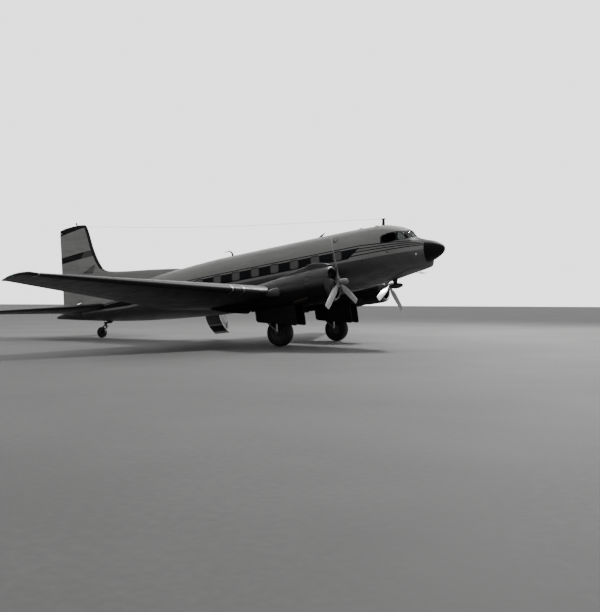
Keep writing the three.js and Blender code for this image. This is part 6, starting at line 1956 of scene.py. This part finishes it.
SEAT_FOOT = -0.075
CUSHIONS = {"seat_pad": (soft_box((0.44, 0.44, 0.10), (2.555, -SEAT_Y, 0.0)), 0.012),
            "back_pad": (turned(soft_box((0.085, 0.42, 0.58), (2.745, -SEAT_Y, 0.360)), 9, "Y",
                                (2.745, -SEAT_Y, 0.360)), 0.014)}
for label, (shape, cap) in CUSHIONS.items():
    pad = stuffed(label, shape, cap)
    for name, side in SIDES.items():
        mesh = pad if side == -1 else shifted_copy(pad, 2 * SEAT_Y)
        piece(f"{label}_{name}", mesh, LEATHER)
SEAT_BACK = [(2.825, 0.03), (2.880, 0.40), (2.910, 0.66)]  # (station, height) of the side tubes
for name, side in SIDES.items():
    y = side * SEAT_Y
    frame_parts = [block((2.34, 2.77), (y - 0.225, y + 0.225), (SEAT_FOOT, -0.052), 0.04),
                   block((2.44, 2.70), (y - 0.150, y + 0.150), (FLOOR_H, SEAT_FOOT), 0.03)]
    for hand in (-1, 1):
        frame_parts.append(cord([(s, y + hand * 0.21, h) for s, h in SEAT_BACK], 12, 0.014))
        frame_parts.append(block((2.400, 2.760), (y + hand * 0.232, y + hand * 0.280), (0.205, 0.245), 0.12))
        frame_parts.append(bar((2.700, y + hand * 0.255, -0.06), (2.740, y + hand * 0.255, 0.21), 0.012))
    frame_parts.append(tube([(2.860, y - 0.21, 0.655), (2.915, y, 0.690), (2.860, y + 0.21, 0.655)], 0.014, 12))
    frame_parts.append(slab(*[np.array([[(2.825 + out, y + hand * 0.20, 0.06) for hand in (-1, 1)],
                                        [(2.905 + out, y + hand * 0.19, 0.64) for hand in (-1, 1)]])
                              for out in (0.0, 0.008)]))
    piece(f"seat_frame_{name}", join(*frame_parts), COCKPIT, stands_for=[f"seat_{name}"])
print("padded pieces:", 2 * len(CUSHIONS))

# %% [markdown]
# ## Aerials and probes
# A short mast with a cross bar stands over the crew, and a wire runs from it to a stub on the fin. Two
# whip aerials stand on the roof, a streamlined loop hangs under the nose and two pitot heads look
# forward below the radome.
# %% Make the aerials and probes
MAST_FOOT, MAST_HEAD = np.array([2.450, 0, 1.380]), np.array([2.405, 0, 1.661])
CROSS_REACH = np.array([0.070, 0, 0.011])


def oval(place, long, wide, sides=32):
    """A level ellipse about a place, with its half length and half width."""
    angle = np.arange(sides) * 2 * np.pi / sides
    return np.asarray(place) + np.stack([long * np.cos(angle), wide * np.sin(angle), 0 * angle], -1)


mast = [loft([oval(MAST_FOOT, 0.070, 0.030), oval(MAST_HEAD, 0.052, 0.024)]),
        bar(MAST_HEAD - CROSS_REACH, MAST_HEAD + CROSS_REACH, 0.027),
        lathe([(0, 0), (0, 0.080), (0.012, 0.074), (0.024, 0.044), (0.028, 0)], MAST_FOOT, (0, 0, 1), 28)]
mast += [knob(MAST_HEAD + hand * CROSS_REACH, AFT, 0.026, 18) for hand in (-1, 1)]
piece("mast_aerial", join(*mast), BLACK, stands_for=["antenna_mast"])
LOOP_H, PYLON_S = -1.190, 2.290
teardrop = np.array([(1.980, 0.004), (1.985, 0.030), (2.050, 0.075), (2.200, 0.110), (2.350, 0.105), (2.480, 0.070),
                     (2.565, 0.025), (2.570, 0.002)])
s = 1.98 + 0.59 * (1 - np.cos(np.linspace(0, np.pi, 40))) / 2
profile = np.stack([s, between(teardrop, 1, s)], -1)
pylon = [oval((PYLON_S, 0, h), long, wide) for h, long, wide in (
    (-0.90, 0.120, 0.034), (-0.945, 0.112, 0.033), (-1.08, 0.082, 0.029), (LOOP_H, 0.066, 0.028))]
loop = [lathe(profile, (0, 0, LOOP_H), AFT, 40), loft(pylon),
        lathe([(0, 0), (0, 0.130), (0.010, 0.122), (0.018, 0.095), (0.018, 0)], (PYLON_S, 0, -0.925), (0, 0, -1), 36)]
piece("loop_aerial", join(*loop), LOOP_PAINT, stands_for=["loop_antenna"])
FIN_STUB = (18.62, 0.0, 4.55)
wire = cord([(2.475, 0, 1.674), (10.6, 0, 2.96), FIN_STUB], 40, 0.0055, 6)
stub = bar((18.62, 0, 4.40), (18.62, 0, 4.57), 0.010)
piece("aerial_wire", join(wire, stub), BLACK)
whips = [cord([(5.390, 0, 1.420), (5.330, 0, 1.480), (5.230, 0, 1.540), (5.120, 0, 1.600)], 16,
              np.linspace(0.065, 0.014, 16), 14),
         cord([(9.840, 0, 1.420), (9.850, 0, 1.570), (9.930, 0, 1.660), (10.060, 0, 1.690), (10.260, 0, 1.700)], 24,
              np.linspace(0.048, 0.010, 24), 14),
         lathe([(0, 0), (0, 0.080), (0.01, 0.074), (0.014, 0)], (5.390, 0, 1.440), (0, 0, 1), 20),
         lathe([(0, 0), (0, 0.080), (0.01, 0.074), (0.016, 0)], (9.840, 0, 1.436), (0, 0, 1), 20)]
piece("whip_aerials", join(*whips), BLACK)
PITOT_Y, PITOT = 0.22, [(1.250, -0.690), (1.235, -0.800), (1.150, -0.850), (0.960, -0.850)]
pitots = both(lambda side: cord([at_y(place, side * PITOT_Y) for place in PITOT], 24, np.linspace(0.018, 0.011, 24),
                                14))
piece("pitot_heads", pitots, CHROME)
print("aerials and probes done")

# %% [markdown]
# ## Ports, lamps and exhausts
# A round port sits high on each side behind the crew, with small blisters along the crown. The lamps are
# low round lenses on the nose, the wing tips, the fin and the tail. A landing lamp's fairing stands in the
# corner between each nacelle and the leading edge, and each engine has two short exhaust pipes. They
# are all turned shapes, since that is how such parts are spun or cast.
# %% Make the ports, lamps and exhausts


def dome(place, axis, radius, height, sides=24):
    """A low round cap that stands on a skin, with its foot just below the skin."""
    t = np.linspace(0, np.pi / 2, 8)
    crown = np.stack([height * np.sin(t), radius * np.cos(t)], -1)
    return lathe(np.concatenate([[(-0.02, 0), (-0.02, radius)], crown]), place, axis, sides)


turn = np.linspace(0, 2 * np.pi, 29)[:-1]
PORT = np.array([4.312, 1.044]) + 0.075 * np.stack([np.cos(turn), np.sin(turn)], -1)
piece("crown_ports", both(lambda side: sheet(on_side(pane_grid(PORT, 0.0), 0.003, side), wrap=True)), PANE)
piece("crown_port_frames", both(lambda side: sheet(on_side(frame_grid(PORT, 0.034), FRAME_OUT, side), wrap=True)),
      BLACK)
piece("crown_blisters", join(*[dome((s, 0, h), (0, 0, 1), 0.11, 0.05) for s, h in ((3.456, 1.428), (2.744, 1.398))]),
      SKIN)
NOSE_LAMP = (0.991, -0.132)
spots, lamps = [], [dome((20.675, 0, 0.18), (1, 0, 0), 0.035, 0.02)]
for side in SIDES.values():
    on_nose = (NOSE_LAMP[0], side * float(side_of_body(*NOSE_LAMP)), NOSE_LAMP[1])
    lamps.append(dome(on_nose, (-0.4, side, 0), 0.042, 0.02))
    spots += [dome((s, side * float(side_of_body(s, h)), h), (0, side, 0), 0.035, 0.006)
              for s, h in ((2.079, 0.132), (3.161, -0.045))]
piece("static_ports", join(*spots), BLACK)
piece("white_lamps", join(*lamps), LAMP)
piece("port_lamp", dome((9.480, 13.640, 0.010), (-0.6, 0.8, 0), 0.026, 0.045), RED_LENS)
piece("starboard_lamp", dome((9.480, -13.640, 0.010), (-0.6, -0.8, 0), 0.026, 0.045), GREEN_LENS)
piece("fin_lamp_post", bar((18.73, 0, 4.60), (18.73, 0, 4.70), 0.022), BLACK)
piece("fin_lamp", dome((18.73, 0, 4.70), (0, 0, 1), 0.045, 0.10), RED_LENS)
FAIRING = [(-0.45, 0), (-0.45, 0.11), (-0.20, 0.160), (0, 0.180), (0.06, 0.168), (0.11, 0.130), (0.14, 0.075),
           (0.15, 0)]
PIPE = [(4.66, 0.46, -1.28), (4.95, 0.53, -1.36), (5.35, 0.55, -1.42)]  # y is from the engine's middle
fairings = both(lambda side: lathe(FAIRING, (5.98, side * 3.56, -0.91), -AFT, 40))
pipes = [cord([(s, side * ENGINE_Y + hand * y, h) for s, y, h in PIPE], 16, 0.072, 20)
         for side in SIDES.values() for hand in (-1, 1)]
piece("landing_lamp_fairings", fairings, CASTING)
piece("exhaust_pipes", join(*pipes), EXHAUST)
print("lamps:", len(lamps) + 3, "exhaust pipes:", len(pipes))

# %% [markdown]
# ## Floor, light and camera
# The aircraft stands on a plain pale floor. One soft key light stands high ahead of its left side, as the
# photo's shadows show, and a bright backdrop fills the far side while the near side stays dim, which keeps
# the undersides dark. The camera stands at a person's height, ahead of the right wing tip, where lines
# drawn through the photo's own edges meet.
# %% Set the floor, the light and the camera


def floor_finish():
    """Pale concrete: broad soft patches and fine grain in colour, gloss and height."""
    material = bpy.data.materials.new("pale_floor")
    material.use_nodes = True
    tree = material.node_tree
    sockets = tree.nodes["Principled BSDF"].inputs
    place = read(tree, "TexCoord", "Object")
    broad, fine = noise(place, 0.18, 4), noise(place, 9.0, 4)
    patches = step(broad * 0.6 + fine * 0.4, 0.35, 0.65)
    wear(sockets, blend(patches, (0.105, 0.105, 0.103), (0.140, 0.140, 0.138)), 0.72 + fine * 0.2)
    sockets["Specular IOR Level"].default_value = 0.25
    relief(sockets, fine, 0.004, 0.3)
    return material


FLOOR_REACH = 900.0  # metres each way, so that its edge lies at the horizon
floor_mesh = bpy.data.meshes.new("floor")
floor_mesh.from_pydata([(x * FLOOR_REACH, y * FLOOR_REACH, 0) for x, y in ((-1, -1), (1, -1), (1, 1), (-1, 1))],
                       [], [(0, 1, 2, 3)])
floor_mesh.materials.append(floor_finish())
floor = bpy.data.objects.new("floor", floor_mesh)
bpy.context.collection.objects.link(floor)

BACKDROP = {"toward": (-0.4443, 0.8959, 0.10), "bright": 2.3, "dim": 0.36, "starts": 0.15, "full": 0.84}


def studio_world():
    """A dim even studio with a soft bright backdrop on one side, brightest within thirty degrees of it."""
    made = bpy.data.worlds.new("studio_sky")
    made.use_nodes = True
    tree = made.node_tree
    facing = read(tree, "VectorMath", "Value", {0: read(tree, "TexCoord", "Generated"), 1: BACKDROP["toward"]},
                  operation="DOT_PRODUCT")
    sky = tree.nodes["Background"].inputs
    sky["Color"].default_value = (1.0, 1.0, 1.0, 1)
    fill(sky["Strength"], step(facing, *(BACKDROP[key] for key in ("starts", "full", "dim", "bright"))))
    return made


bpy.context.scene.world = studio_world()


def area_light(name, place, aim, size, power):
    """A square light of a size in metres, turned so that it shines from a place to an aim point."""
    data = bpy.data.lights.new(name, "AREA")
    data.size, data.energy = size, power
    light = bpy.data.objects.new(name, data)
    away = np.array(place, float) - np.array(aim, float)
    away /= np.linalg.norm(away)
    side, up = frame_along(away)
    light.matrix_world = Matrix([[side[i], up[i], away[i], place[i]] for i in range(3)] + [[0, 0, 0, 1]])
    bpy.context.collection.objects.link(light)
    return light


area_light("high_key", (15.0, 28.0, 28.5), (0.0, 0.0, 1.5), 3.4, 26000.0)

FOCAL_PIXELS, IMAGE_HEIGHT, SENSOR = 788.24, 612, 36
CAMERA_PLACE = (19.095, -30.970, 1.711)
AHEAD = np.array([-0.4443, 0.8959, 0.0])
ACROSS = np.array([0.8959, 0.4443, 0.0])
DOWN, ROLL = 0.0023, 0.00403  # radians


def camera_matrix():
    """Columns right, up and backwards: the level view turned down a little and rolled a little."""
    forward = np.cos(DOWN) * AHEAD - np.sin(DOWN) * np.array([0, 0, 1.0])
    level_up = np.cross(ACROSS, forward)
    right = np.cos(ROLL) * ACROSS + np.sin(ROLL) * level_up
    up = -np.sin(ROLL) * ACROSS + np.cos(ROLL) * level_up
    return Matrix([[right[i], up[i], -forward[i], CAMERA_PLACE[i]] for i in range(3)] + [[0, 0, 0, 1]])


camera_data = bpy.data.cameras.new("photo_camera")
camera_data.lens = FOCAL_PIXELS * SENSOR / IMAGE_HEIGHT
camera_data.sensor_width = SENSOR
camera_data.clip_end = 3000
camera = bpy.data.objects.new("photo_camera", camera_data)
camera.matrix_world = camera_matrix()
bpy.context.collection.objects.link(camera)
bpy.context.scene.camera = camera
print("lens:", round(camera_data.lens, 2), "mm")
